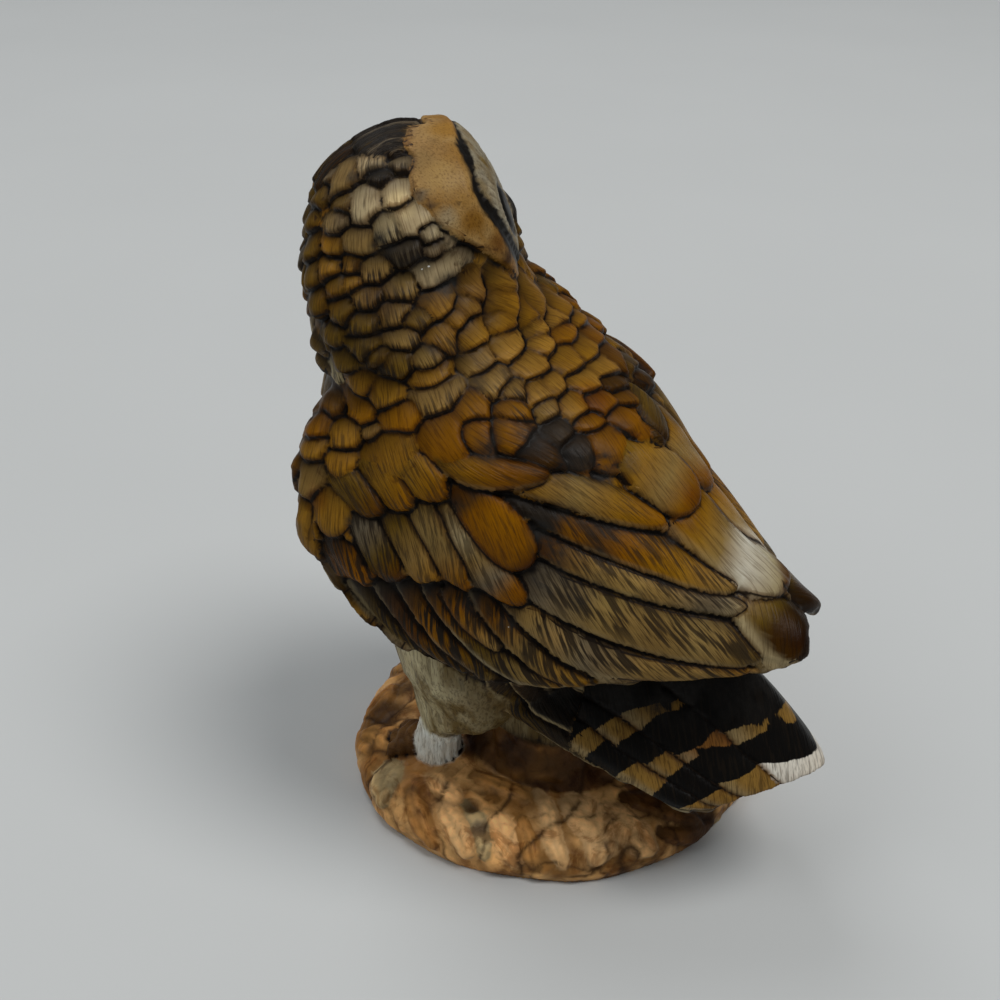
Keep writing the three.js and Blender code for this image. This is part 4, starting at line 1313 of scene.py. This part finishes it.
# colours where no feather lies
wp = corner.reshape(-1, 3)
big = fbm(wp * .16, 3, 21).reshape(nf, 3)
small = fbm(wp * .7, 3, 22).reshape(nf, 3)
fa[:] = corner
for name, base, other in (
        ("rock", (.56, .325, .125), (.26, .125, .034)), ("mound", (.13, .06, .015), (.05, .02, .005)),
        ("toe", (.17, .085, .026), (.075, .034, .010)), ("beak", (.03, .026, .022), (.012, .01, .009)),
        ("eye", (.012, .010, .008), (.006, .005, .004)), ("head", OCH, TAN), ("leg", CRM, OLV), ("tail", BRN, BLK),
        ("torso", OLV, CHR), ("neck", OLV, CHR), ("wing_l", BRN, CHR), ("wing_r", BRN, CHR)):
    m = region == PARTS.index(name)
    k = smooth(.35, .65, big[m])[..., None]
    tint[m] = mix(np.array(other), np.array(base), k)


def colour_of(f, S, T):
    x = np.array([a for a, _ in f.cols])
    c = np.array([b for _, b in f.cols])
    q = np.clip((S - f.skew * T) / f.L, 0, 1)
    return np.stack([np.interp(q, x, c[:, i]) for i in range(3)], -1)


def tint_from(f, S, T, w):
    c = colour_of(f, S, T)
    if f.edge:
        ec, sgn = f.edge
        k = smooth(.45, .8, np.clip(T * sgn / w, -1, 1)) * smooth(.15, .4, S / f.L)
        c = mix(c, np.array(ec), k[:, None])
    j = f.jit
    return c * (1 + j * f.tone[0]) * np.array([1 + .25 * j * f.tone[1], 1, 1 - .3 * j * f.tone[1]])


def sided(f, T, w):
    """-1 at a long feather's upper edge to +1 at the lower one, which stands up."""
    return np.clip(T * np.sign(f.tilt) / w, -1, 1)


def shaded(f, c, T, w):
    """A long feather is painted dark under the one above it, as painted shade, and pale along its lower edge."""
    if not f.tilt:
        return c
    e = sided(f, T, w)
    c = c * (.42 + .58 * smooth(-1.0, -.25, e))[:, None]
    return mix(c, np.minimum(np.array(CRM) * .8 + c * .4, 1), (.38 * smooth(.74, .96, e))[:, None])


def tone_of(f, P):
    S, T, _ = f.frame(P)
    w = f.width(S, T)
    return np.clip(shaded(f, tint_from(f, S, T, w), T, w), 0, 1)


def stretched(sel, k, st, gloss=0.0):
    """Streaks that run down a region: k scales the three ways of the streaks."""
    fa[sel] = corner[sel] * np.array(k)
    fb[sel] = np.array([st, 0, gloss])


m = face_tail = tz[face_src]
_, te_, tc_, *_ = tail_paint(corner[m].reshape(-1, 3))
tint[m] = tc_.reshape(-1, 3, 3)
fa[m] = np.stack([corner[m][..., 0] * .9 - corner[m][..., 1] * .9, (corner[m][..., 0] + corner[m][..., 1]) * .10, corner[m][..., 2] * .2], -1)
fb[m] = np.array([.45, 0, .15])

# paint of the face: soft washes over cream and gold, a ragged black band, and
# a black patch about each eye
FACE_WASH = [
    (445, 130, 18, (.30, .15, .020), .8), (420, 160, 16, (.28, .18, .065), .8), (445, 178, 20, (.35, .215, .065), .8),
    (421, 196, 8, (.13, .105, .07), .8), (431, 206, 5, (.05, .035, .025), .8), (446, 216, 12, (.27, .21, .12), .8),
    (466, 196, 13, (.29, .155, .032), .7), (473, 222, 15, (.19, .082, .006), .9), (497, 243, 11, (.15, .058, .006), .8),
    (507, 257, 9, (.045, .018, .005), .9), (431, 141, 4, (.07, .03, .008), .9), (459, 203, 3, (.05, .025, .01), .7),
    (415, 131, 8, (.25, .16, .08), .6)]
DISC_WASH = [
    (484, 161, 8, (.20, .13, .025), .85), (480, 143, 9, (.27, .26, .22), .8), (492, 190, 9, (.40, .35, .24), .8),
    (497, 178, 3.5, (.02, .018, .015), .9), (504, 189, 3.5, (.02, .018, .015), .9), (501, 183, 3, (.3, .3, .28), .7)]
EYE_WASH = [(503, 203, 5), (508, 208, 6), (511, 217, 6), (513, 227, 4.5)]


def washes(P, c, table, both=True):
    for u, v, r, tone, k in table:
        q = hit(u, v)
        if q is None:
            continue
        l = (q - HC) @ FLEFT
        r = r * ((q - EYE) @ FWD) / FOCAL
        for o in (q, q - 2 * l * FLEFT)[:2 if both else 1]:
            w = k * smooth(1.3, .5, np.linalg.norm(P - o, axis=1) / r)
            c = mix(c, np.array(tone), w[:, None])
    return c


def face_paint(P):
    q = P - HC
    a, l, w = q @ FACE, q @ FLEFT, q @ FUP
    phi, lam = np.arctan2(w, np.abs(l)), np.arctan2(np.hypot(l, w), a)
    rag = .03 * (fbm(P * 1.3, 3, 71) - .5)
    bo, bi = np.interp(phi, *BAND_OUT) + rag, np.interp(phi, *BAND_IN) + rag
    c = mix(np.array((.27, .14, .030)), np.array((.34, .21, .075)), smooth(.35, .65, fbm(P * .2, 2, 72))[:, None])
    c = washes(P, c, FACE_WASH)
    d = mix(np.array((.30, .27, .19)), np.array((.22, .17, .09)), smooth(.4, .65, fbm(P * .35, 2, 73))[:, None])
    d = washes(P, d, DISC_WASH)
    e = np.minimum(np.hypot(l - EYE_APART, w - 0.4), np.hypot(l + EYE_APART, w - 0.4))
    ang = np.arctan2(w - 0.4, np.abs(l) - EYE_APART)
    d = mix(d, np.array((.09, .06, .03)), (.55 * smooth(.1, .9, np.sin(ang * 34 + 2 * np.sin(e))) * smooth(5, 7, e) * smooth(13, 9, e))[:, None])
    k = smooth(EYE_R + 1.6, EYE_R + .7, e + .5 * (w > 0.4) + .8 * (fbm(P * .9, 2, 74) - .5))
    for u, v, r in EYE_WASH:
        o = hit(u, v)
        if o is not None:
            o2 = o - 2 * ((o - HC) @ FLEFT) * FLEFT
            r = r * ((o - EYE) @ FWD) / FOCAL
            for x in (o, o2):
                k = np.maximum(k, smooth(1.15, .8, np.linalg.norm(P - x, axis=1) / r))
    d = mix(d, np.array((.006, .005, .004)), k[:, None])
    # dark edge of the disc along the bridge and the chin
    c = mix(c, d, smooth(.012, -.012, lam - (bo + bi) / 2)[:, None])
    band = smooth(.012, -.004, lam - bo) * smooth(-.012, .004, lam - bi)
    return mix(c, np.array((.008, .0065, .005)), band[:, None])


m = face_zone[face_src] & (region != PARTS.index("eye"))
tint[m] = face_paint(corner[m].reshape(-1, 3)).reshape(-1, 3, 3)
fb[m] = np.array([.0, 0, .12])
m = leg_zone[face_src] | puff[face_src]
P = corner[m]
k = smooth(.30, .62, fbm(P * np.array([.6, .6, .07]) + 3, 3, 61))[..., None]
tint[m] = mix(np.array((.19, .135, .050)), np.array((.56, .49, .29)), k)
back_of = smooth(-15, -1, P[..., 1])[..., None]
tint[m] = mix(tint[m], np.array((.10, .065, .022)), .75 * back_of)
# painted shade in the hollow at the rear bottom of the thigh
tint[m] = mix(tint[m], np.array((.035, .016, .005)), smooth(24.5, 20.5, P[..., 2])[..., None] * smooth(-15.5, -12, P[..., 1])[..., None])
stretched(m, (.9, .9, .10), .40)
m = puff[face_src]
tint[m] = mix(np.array((.84, .88, .82)), np.array((.74, .72, .62)), smooth(.3, .7, small[m])[..., None])
stretched(m, (1.3, 1.3, .15), .18)



mine = np.where(face_zone[face_src] | (leg_zone | puff)[face_src], -1, top)
order = np.argsort(mine, kind="stable")
bounds = np.searchsorted(mine[order], np.arange(len(FEATHERS) + 1))
for f in FEATHERS:
    sel = order[bounds[f.id]:bounds[f.id + 1]]
    if not len(sel):
        continue
    P = corner[sel].reshape(-1, 3)
    S, T, _ = f.frame(P)
    w = f.width(S, T)
    e = np.clip(np.abs(T) / w, 0, 1.2)
    x = np.clip(S / f.L, 0, 1)
    c = shaded(f, tint_from(f, S, T, w), T, w)
    a = f.slant
    tt = T
    qa = -S * math.sin(abs(a)) + tt * (np.sign(a) if a else 1) * math.cos(a)
    ql = S * math.cos(a) + tt * (np.sign(a) if a else 1) * math.sin(abs(a))
    ql = np.where(a == 0, S, ql)
    fa[sel] = np.stack([qa * f.fine[0], ql * f.fine[1], np.full(len(P), f.id * 1.37)], -1).reshape(-1, 3, 3)
    st = f.streak * (smooth(1 - .75 * f.vis / f.L, 1 - .3 * f.vis / f.L, x) if f.kind in ("scale", "key") else smooth(0, .15, x))
    if f.tilt:
        st = st * (1 - .55 * smooth(.25, .85, sided(f, T, w)))
    tint[sel] = np.clip(c, 0, 1).reshape(-1, 3, 3)
    fb[sel] = np.stack([st, np.zeros(len(P)), np.full(len(P), f.gloss)], -1).reshape(-1, 3, 3)

# charcoal patches of the antique wash, where the picture shows them, and black painted shade in the gap under the wing
# over the tail
WASH_AND_SHADE_PATCH = [
    (385, 135, 26, .75), (360, 150, 16, .6), (378, 172, 15, .9), (352, 178, 8, .8), (382, 243, 16, 1.), (420, 262, 14, .6), (447, 284, 16, 1.),
    (455, 352, 12, .7), (425, 300, 10, .5), (430, 345, 10, .6), (478, 385, 12, .8), (505, 375, 12, .7), (490, 448, 20, 1.),
    (530, 440, 22, .9), (560, 425, 16, .8), (570, 455, 22, 1.), (600, 466, 22, 1.), (628, 468, 14, .8), (500, 420, 10, .7),
    (540, 530, 16, 1.), (562, 512, 14, .9), (585, 527, 14, .8), (560, 556, 14, .8), (540, 585, 14, .8), (575, 600, 16, .6),
    (600, 578, 12, .5), (640, 548, 10, .6), (670, 538, 12, .9), (612, 557, 9, .6), (700, 606, 12, .6), (640, 596, 10, .5),
    (555, 575, 14, .8), (556, 552, 15, 1.), (395, 590, 18, .9), (430, 596, 16, .9), (470, 604, 14, .7), (510, 625, 14, .7), (370, 585, 12, .9),
    (620, 690, 30, 1.), (680, 690, 40, 1.), (740, 690, 40, .8), (560, 700, 18, .8), (749, 655, 12, .7), (660, 700, 20, 1.),
    (350, 520, 8, .8), (345, 505, 6, .6), (580, 400, 6, .5), (622, 430, 12, .9), (640, 420, 10, .8), (560, 372, 8, .6)]
pc, pr, ps = [], [], []
for u, v, r, s in WASH_AND_SHADE_PATCH:
    q = hit(u, v)
    if q is not None:
        pc.append(q)
        pr.append(r * ((q - EYE) @ FWD) / FOCAL)
        ps.append(s)
        if v > 420 and q[0] > 6:
            pc.append(q * np.array([-1, 1, 1]))
            pr.append(pr[-1])
            ps.append(s)
wash_and_shade = np.zeros(len(W))
for q, r, s in zip(pc, pr, ps):
    d = np.linalg.norm(W - q, axis=1) / r
    wash_and_shade = np.maximum(wash_and_shade, s * smooth(1.25, .35, d))
wash_and_shade *= smooth(.28, .5, fbm(W * .45, 3, 31))
fb[:, :, 1] = wash_and_shade[F]


# paint runs across the edges of the faces: each point takes its own feather's colour
vtop = np.where((face_zone | leg_zone | puff)[vert_src], -1, TOP[vert_src])
vt = np.zeros((len(W), 3))
vn = np.zeros(len(W))
np.add.at(vt, F.ravel(), tint.reshape(-1, 3))
np.add.at(vn, F.ravel(), 1)
vt /= vn[:, None]
o = np.argsort(vtop, kind="stable")
vb = np.searchsorted(vtop[o], np.arange(len(FEATHERS) + 1))
for f in FEATHERS:
    sel = o[vb[f.id]:vb[f.id + 1]]
    if len(sel):
        vt[sel] = tone_of(f, W[sel])
is_eye = region == PARTS.index("eye")
keep = ~(face_zone[face_src] | is_eye | tz[face_src])
tint[keep] = vt[F][keep]

# painted light and painted shade that lighten or darken the feathers in places, partly also the tone of their paint
wmid = corner.mean(1)
LIGHT_AND_TONE = [
    (400, 205, 15, (1.5, 1.5, 1.4)), (322, 230, 22, (1.75, 1.6, 1.1)), (330, 300, 16, (1.25, 1.1, .9)), (500, 350, 26, (1.3, 1.3, 1.5)), (406, 420, 14, (1.15, 1.15, 1.2)),
    (500, 520, 22, (1.25, 1.3, 1.2)), (590, 400, 22, (.75, .6, .5)), (440, 345, 14, (.8, .82, 1.3)), (320, 500, 14, (.8, .65, .8)),
    (685, 500, 15, (.68, .5, .2)), (690, 525, 13, (.92, .86, .5)), (795, 640, 14, (.65, .5, .3)), (560, 650, 22, (1.4, 1.25, .9)), (380, 300, 22, (.55, .50, .5)), (475, 300, 26, (.9, .92, 1.4)),
    (700, 640, 26, (1.15, 1.2, 1.3)), (620, 590, 24, (1.15, 1.2, 1.2))]
for u, v, r, k in LIGHT_AND_TONE:
    q = hit(u, v)
    if q is not None:
        r *= ((q - EYE) @ FWD) / FOCAL
        sel = np.nonzero((np.abs(wmid - q) < 1.5 * r).all(1) & ~face_zone[face_src])[0]
        w = smooth(1.4, .5, np.linalg.norm(corner[sel] - q, axis=-1) / r)[..., None]
        tint[sel] = np.clip(tint[sel] * (1 + w * (np.array(k) - 1)), 0, 1)
# darker patches of the rock, painted shade under the body and tail and in the pit, and greyer patches of its paint
ROCK_SHADE_AND_WASH = [
    (385, 715, 24, (.070, .033, .008), .97), (372, 702, 14, (.07, .034, .009), .85), (372, 735, 12, (.16, .085, .022), .7), (405, 690, 14, (.07, .035, .010), .85),
    (408, 745, 14, (.10, .05, .014), .8),
    (695, 822, 26, (.060, .026, .007), .9), (715, 805, 20, (.045, .020, .006), .9), (655, 805, 22, (.10, .048, .014), .7),
    (620, 770, 26, (.050, .022, .006), .85), (560, 765, 22, (.075, .034, .009), .8), (520, 750, 20, (.05, .022, .007), .9),
    (480, 742, 18, (.045, .020, .006), .9), (390, 780, 17, (.21, .165, .085), .75), (479, 829, 9, (.16, .125, .085), .8),
    (472, 807, 8, (.055, .028, .012), .8), (440, 775, 14, (.20, .12, .045), .6)]
m = np.nonzero(rk[face_src])[0]
tint[m] = washes(corner[m].reshape(-1, 3), tint[m].reshape(-1, 3), ROCK_SHADE_AND_WASH, False).reshape(-1, 3, 3)
# the oranges keep clear of grey
red = np.maximum(tint[..., 0], 1e-4)
clear = np.clip(tint[..., 2] / red / .11, .2, 1) ** .8
clear = mix(1.0, clear, smooth(.52, .44, tint[..., 1] / red))
own_hue = face_zone[face_src] | rk[face_src] | is_eye
tint[..., 2] *= np.where(own_hue[:, None], 1, clear)

# the line of each feather's edge, in millimetres across it
fo, ft = owner[face_src], beside[face_src]
line = np.full((nf, 3), 9.0)
scale_kind = np.array([f.kind in ("key", "scale") for f in FEATHERS])
both = (fo >= 0) & (ft >= 0)
both[both] = scale_kind[fo[both]] & scale_kind[ft[both]]


def per_feather(ids, use, fun, out):
    sel_all = np.nonzero(use)[0]
    o = sel_all[np.argsort(ids[sel_all], kind="stable")]
    b = np.searchsorted(ids[o], np.arange(len(FEATHERS) + 1))
    for f in FEATHERS:
        sel = o[b[f.id]:b[f.id + 1]]
        if len(sel):
            out[sel] = fun(f, corner[sel].reshape(-1, 3)).reshape(-1, 3)


g1, g2 = np.zeros((nf, 3)), np.zeros((nf, 3))
per_feather(fo, both, lambda f, P: f.claim(P)[0], g1)
per_feather(ft, both, lambda f, P: f.claim(P)[0], g2)
half = np.array([(f.wl.mean() + f.wr.mean()) / 2 for f in FEATHERS])
line[both] = (g2 - g1)[both] * .5 * half[fo[both]][:, None]
vane = ~np.isin(kinds, ("key", "scale", "none"))
duo = (fo >= 0) & (ft >= 0) & vane[fo] & vane[ft]
per_feather(fo, duo, lambda f, P: f.height(P)[1] + .02 * ((f.id * 7) % 5), g1)
per_feather(ft, duo, lambda f, P: f.height(P)[1] + .02 * ((f.id * 7) % 5), g2)
line[duo] = (g1 - g2)[duo] / .9
single = (fo >= 0) & ~both & ~duo
lone = np.zeros((nf, 3))
per_feather(fo, single & scale_kind[np.maximum(fo, 0)], lambda f, P: (1.1 - f.claim(P)[0]) * half[f.id], lone)
per_feather(fo, single & ~scale_kind[np.maximum(fo, 0)], lambda f, P: f.outline(P), lone)
line[single] = lone[single]
m = tz[face_src]
*_, gap, bar = tail_paint(corner[m].reshape(-1, 3))
line[m] = (gap * 32).reshape(-1, 3)
fl_ = np.zeros((nf, 3, 3))
fl_[..., 0] = np.clip(line, -9, 9)
fl_[..., 2] = 9.0
fl_[m, :, 2] = (bar * 65).reshape(-1, 3)
fl_[..., 1] = np.where(m, 1.0, ink[face_src])[:, None]
fl_[(fo == -9) & ~m | rk[face_src], :, 0] = 9.0


def corner_attr(name, a):
    at = mesh.attributes.new(name, "FLOAT_VECTOR", "CORNER")
    at.data.foreach_set("vector", np.asarray(a, np.float32).ravel())


corner_attr("fa", fa)
corner_attr("fb", fb)
corner_attr("fl", fl_)
corner_attr("tint", tint)
for name, vals in (("cav", CAV), ("ridge", RIDGE), ("halo", EDGE_WASH_AND_SHADE)):
    at = mesh.attributes.new(name, "FLOAT", "POINT")
    at.data.foreach_set("value", vals[vert_src].astype(np.float32))


# ------------------------------------------------------------------ materials
class Nodes:
    def __init__(self, name):
        self.m = bpy.data.materials.new(name)
        self.m.use_nodes = True
        self.t = self.m.node_tree
        self.bsdf = next(n for n in self.t.nodes if n.type == "BSDF_PRINCIPLED")

    def new(self, kind, **k):
        n = self.t.nodes.new(kind)
        for a, b in k.items():
            setattr(n, a, b)
        return n

    def link(self, a, b):
        self.t.links.new(a, b)

    def put(self, sock, val):
        if hasattr(val, "is_linked") or hasattr(val, "node"):
            self.link(val, sock)
        else:
            sock.default_value = val

    def attr(self, name, out="Vector"):
        n = self.new("ShaderNodeAttribute", attribute_name=name)
        return n.outputs[out]

    def math(self, op, a, b=0.0, clamp=False):
        n = self.new("ShaderNodeMath", operation=op, use_clamp=clamp)
        self.put(n.inputs[0], a)
        self.put(n.inputs[1], b)
        return n.outputs[0]

    def vmath(self, op, a, b):
        n = self.new("ShaderNodeVectorMath", operation=op)
        self.put(n.inputs[0], a)
        self.put(n.inputs[1], b)
        return n.outputs[0]

    def split(self, v):
        n = self.new("ShaderNodeSeparateXYZ")
        self.link(v, n.inputs[0])
        return n.outputs

    def noise(self, vec, scale, detail=2.0, rough=0.5, dist=0.0):
        n = self.new("ShaderNodeTexNoise")
        self.put(n.inputs["Vector"], vec)
        n.inputs["Scale"].default_value = scale
        n.inputs["Detail"].default_value = detail
        n.inputs["Roughness"].default_value = rough
        n.inputs["Distortion"].default_value = dist
        return n.outputs["Fac"]

    def ramp(self, x, lo, hi, a=0.0, b=1.0):
        n = self.new("ShaderNodeMapRange", interpolation_type="SMOOTHSTEP")
        self.put(n.inputs["Value"], x)
        for s, val in (("From Min", lo), ("From Max", hi), ("To Min", a), ("To Max", b)):
            n.inputs[s].default_value = val
        return n.outputs["Result"]

    def mixc(self, fac, a, b, blend="MIX"):
        n = self.new("ShaderNodeMix", data_type="RGBA", blend_type=blend)
        self.put(n.inputs["Factor"], fac)
        self.put(n.inputs[6], a if not isinstance(a, tuple) else (*a, 1.0))
        self.put(n.inputs[7], b if not isinstance(b, tuple) else (*b, 1.0))
        return n.outputs[2]


SPECKS = [(528, 610, 1.2), (508, 628, 1.6), (537, 650, 1.2), (540, 660, 1.1), (490, 507, 1.2), (522, 535, 1.5), (532, 556, 1.3),
          (503, 595, 1.1), (462, 552, 1.0), (792, 617, 1.2), (422, 269, .6), (429, 266, .8), (470, 600, .9), (613, 771, .9)]


def paint():
    g = Nodes("painted_bisque")
    fa_, fb_, tint_ = g.attr("fa"), g.attr("fb"), g.attr("tint", "Color")
    cav, ridge = g.attr("cav", "Fac"), g.attr("ridge", "Fac")
    st, wash_shade_, gloss = g.split(fb_)
    pos = g.new("ShaderNodeTexCoord").outputs["Object"]
    # dark strokes of the brush and the tool along each barb
    line_, ink_, bar_ = g.split(g.attr("fl"))
    halo = g.attr("halo", "Fac")
    broad = g.noise(g.vmath("MULTIPLY", fa_, (1.55, 1.3, 1.0)), 1.0, 2.0, .5)
    broad = g.math("SUBTRACT", broad, g.math("MULTIPLY", g.math("SUBTRACT", st, .55), .16))
    hair = g.noise(g.vmath("MULTIPLY", fa_, (3.6, 2.0, 2.3)), 1.0, 2.0, .6)
    stroke = g.ramp(broad, .49, .39)
    thin = g.ramp(hair, .50, .38)
    dark = g.math("MULTIPLY", g.math("MAXIMUM", g.math("MULTIPLY", stroke, 1.0), g.math("MULTIPLY", thin, .42)), st, True)
    mottle = g.noise(pos, 260.0, 3.0, .6)
    cloud = g.noise(pos, 70.0, 3.0, .55)
    bar_ = g.math("ADD", bar_, g.math("MULTIPLY", g.math("SUBTRACT", hair, .5), 1.1))
    col = g.mixc(g.ramp(bar_, -.14, .14), (.0045, .004, .0035), tint_)
    col = g.mixc(g.ramp(cloud, .35, .65, .0, .30), col, (.55, .42, .30), "MULTIPLY")
    col = g.mixc(g.ramp(mottle, .35, .7, 0, .30), col, (.62, .55, .5), "MULTIPLY")
    col = g.mixc(g.ramp(hair, .56, .70, 0, .35), col, (1.35, 1.35, 1.4), "MULTIPLY")
    col = g.mixc(g.ramp(hair, .48, .36, 0, .46), col, (.35, .28, .22), "MULTIPLY")
    # soft dark band along the feathers' edges: partly wash, partly painted shade
    col = g.mixc(g.math("MULTIPLY", halo, .62), col, (.30, .21, .13), "MULTIPLY")
    col = g.mixc(dark, col, (.015, .010, .006))
    worn = g.math("MULTIPLY", ridge, .4, True)
    col = g.mixc(worn, col, g.mixc(1.0, col, (1.5, 1.5, 1.5), "MULTIPLY"))
    # black wash left in the grooves, rubbed patches of it, and patches of painted shade under the wing over the tail
    speck = g.noise(pos, 900.0, 2.0, .6)
    groove = g.math("MULTIPLY", cav, g.ramp(mottle, .25, .6, .6, 1.15), True)
    col = g.mixc(g.ramp(groove, .20, .95), col, (.006, .004, .003))
    across = g.math("ABSOLUTE", g.math("ADD", line_, g.math("MULTIPLY", g.math("SUBTRACT", mottle, .5), .35)))
    # painted shade: a soft dark band just inside each feather's edge, for its rounding
    rim = g.math("MULTIPLY", g.ramp(across, 1.15, .10), g.ramp(ink_, .05, .6, .3, .72), True)
    col = g.mixc(rim, col, (.36, .26, .18), "MULTIPLY")
    thread = g.math("MULTIPLY", g.ramp(across, .25, .05), g.ramp(ink_, .12, .9, .12, .95), True)
    col = g.mixc(thread, col, (.010, .006, .0035))
    wash_shade_mask = g.math("MULTIPLY", wash_shade_, g.ramp(speck, .3, .62, 1.0, .70), True)
    col = g.mixc(wash_shade_mask, col, (.019, .017, .015))
    # small bare specks of the bisque
    for u, v, r in SPECKS:
        q = hit(u, v)
        if q is None:
            continue
        d = g.new("ShaderNodeVectorMath", operation="DISTANCE")
        g.link(pos, d.inputs[0])
        d.inputs[1].default_value = tuple(q / 1000.0)
        far = g.math("ADD", d.outputs["Value"], g.math("MULTIPLY", speck, .0006))
        col = g.mixc(g.ramp(far, r * .00022 + .00034, r * .00022 + .00026), col, (.62, .62, .58))
    g.link(col, g.bsdf.inputs["Base Color"])
    rough = g.math("SUBTRACT", g.ramp(mottle, .3, .7, .34, .48), g.math("MULTIPLY", gloss, .14))
    g.link(rough, g.bsdf.inputs["Roughness"])
    g.bsdf.inputs["Specular IOR Level"].default_value = 0.07
    # relief of the barbs and the bisque's grain
    h = g.math("ADD", g.math("MULTIPLY", g.math("MULTIPLY", hair, st), .6), g.math("MULTIPLY", broad, g.math("MULTIPLY", st, 1.0)))
    h = g.math("ADD", h, g.math("MULTIPLY", g.noise(pos, 1500.0, 2.0, .6), .10))
    b = g.new("ShaderNodeBump")
    b.inputs["Strength"].default_value = 0.75
    b.inputs["Distance"].default_value = 0.0005
    g.link(h, b.inputs["Height"])
    g.link(b.outputs[0], g.bsdf.inputs["Normal"])
    return g.m


def rock_paint():
    g = Nodes("painted_rock")
    tint_ = g.attr("tint", "Color")
    cav, ridge = g.attr("cav", "Fac"), g.attr("ridge", "Fac")
    pos = g.new("ShaderNodeTexCoord").outputs["Object"]
    grain = g.noise(pos, 420.0, 4.0, .6)
    cloud = g.noise(pos, 60.0, 4.0, .6, .6)
    col = g.mixc(g.ramp(cloud, .40, .62, 0, .8), tint_, (1.35, 1.28, 1.2), "MULTIPLY")
    col = g.mixc(g.ramp(g.noise(pos, 120.0, 4.0, .65, 1.2), .48, .64, 0, .75), col, (.42, .30, .20), "MULTIPLY")
    col = g.mixc(g.ramp(grain, .35, .7, 0, .35), col, (.6, .5, .42), "MULTIPLY")
    col = g.mixc(g.math("MULTIPLY", ridge, .8, True), col, (1.55, 1.5, 1.45), "MULTIPLY")
    # dark in the hollows: painted shade, with the brown of the crevices
    col = g.mixc(g.ramp(g.math("ADD", cav, g.math("MULTIPLY", g.math("SUBTRACT", grain, .5), .3)), .10, .95, 0, .92), col, (.030, .011, .0025))
    g.link(col, g.bsdf.inputs["Base Color"])
    g.link(g.ramp(grain, .3, .7, .36, .52), g.bsdf.inputs["Roughness"])
    g.bsdf.inputs["Specular IOR Level"].default_value = 0.10
    b = g.new("ShaderNodeBump")
    b.inputs["Strength"].default_value = 0.5
    b.inputs["Distance"].default_value = 0.0005
    g.link(g.math("ADD", grain, g.math("MULTIPLY", g.noise(pos, 1300.0, 2.0), .3)), b.inputs["Height"])
    g.link(b.outputs[0], g.bsdf.inputs["Normal"])
    return g.m


def glossy_eye():
    g = Nodes("eye_glaze")
    pos = g.new("ShaderNodeTexCoord").outputs["Object"]
    col = g.mixc(g.noise(pos, 300.0, 2.0), (.010, .007, .005), (.022, .014, .008))
    g.link(col, g.bsdf.inputs["Base Color"])
    g.link(g.ramp(g.noise(pos, 600.0, 2.0), .3, .7, .16, .26), g.bsdf.inputs["Roughness"])
    return g.m


mesh.materials.append(paint())
mesh.materials.append(rock_paint())
mesh.materials.append(glossy_eye())
slot = np.zeros(nf, np.int32)
slot[rk[face_src]] = 1
slot[region == PARTS.index("eye")] = 2
mesh.polygons.foreach_set("material_index", slot)

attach(owl, "root")
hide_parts("owl_on_rock_casting")

# ------------------------------------------------------------------ floor, light, camera
fl = bpy.data.meshes.new("floor")
fl.from_pydata([(-3, -3, 0), (3, -3, 0), (3, 3, 0), (-3, 3, 0)], [], [(0, 1, 2, 3)])
floor = bpy.data.objects.new("floor", fl)
bpy.context.scene.collection.objects.link(floor)
g = Nodes("pale_floor")
pos = g.new("ShaderNodeTexCoord").outputs["Object"]
g.link(g.mixc(g.noise(pos, 6.0, 3.0), (.52, .533, .53), (.555, .568, .565)), g.bsdf.inputs["Base Color"])
g.bsdf.inputs["Roughness"].default_value = 0.9
fl.materials.append(g.m)

world = bpy.data.worlds.new("studio")
bpy.context.scene.world = world
world.use_nodes = True
bg = world.node_tree.nodes["Background"]
bg.inputs["Color"].default_value = (0.93, 0.97, 1.0, 1)
bg.inputs["Strength"].default_value = 0.19


def lamp(name, place, aim, size, power, colour=(1, 1, 1)):
    d = bpy.data.lights.new(name, "AREA")
    d.shape = "DISK"
    d.size = size
    d.energy = power
    d.color = colour
    o = bpy.data.objects.new(name, d)
    bpy.context.scene.collection.objects.link(o)
    o.location = place
    o.rotation_euler = (Vector(aim) - Vector(place)).to_track_quat("-Z", "Y").to_euler()
    return o


lamp("key", (-0.10, 1.20, 2.85), (0, 0, 0.05), 1.5, 51.0, (1.0, 0.99, 0.975))
lamp("fill", (-0.55, -1.25, 2.6), (0, 0, 0.04), 1.4, 19.0, (0.97, 0.985, 1.0))
lamp("side", (1.05, -0.80, 1.9), (0, 0, 0.05), 1.2, 8.0, (0.98, 0.99, 1.0))

cam = bpy.data.cameras.new("camera")
cam.sensor_width = 36.0
cam.lens = 43.2
cam.clip_start = 0.01
co = bpy.data.objects.new("camera", cam)
bpy.context.scene.collection.objects.link(co)
co.location = Vector(EYE / 1000.0)
co.rotation_euler = Vector(FWD).to_track_quat("-Z", "Y").to_euler()
bpy.context.scene.camera = co
bpy.context.scene.view_settings.view_transform = "Standard"

bpy.context.view_layer.update()
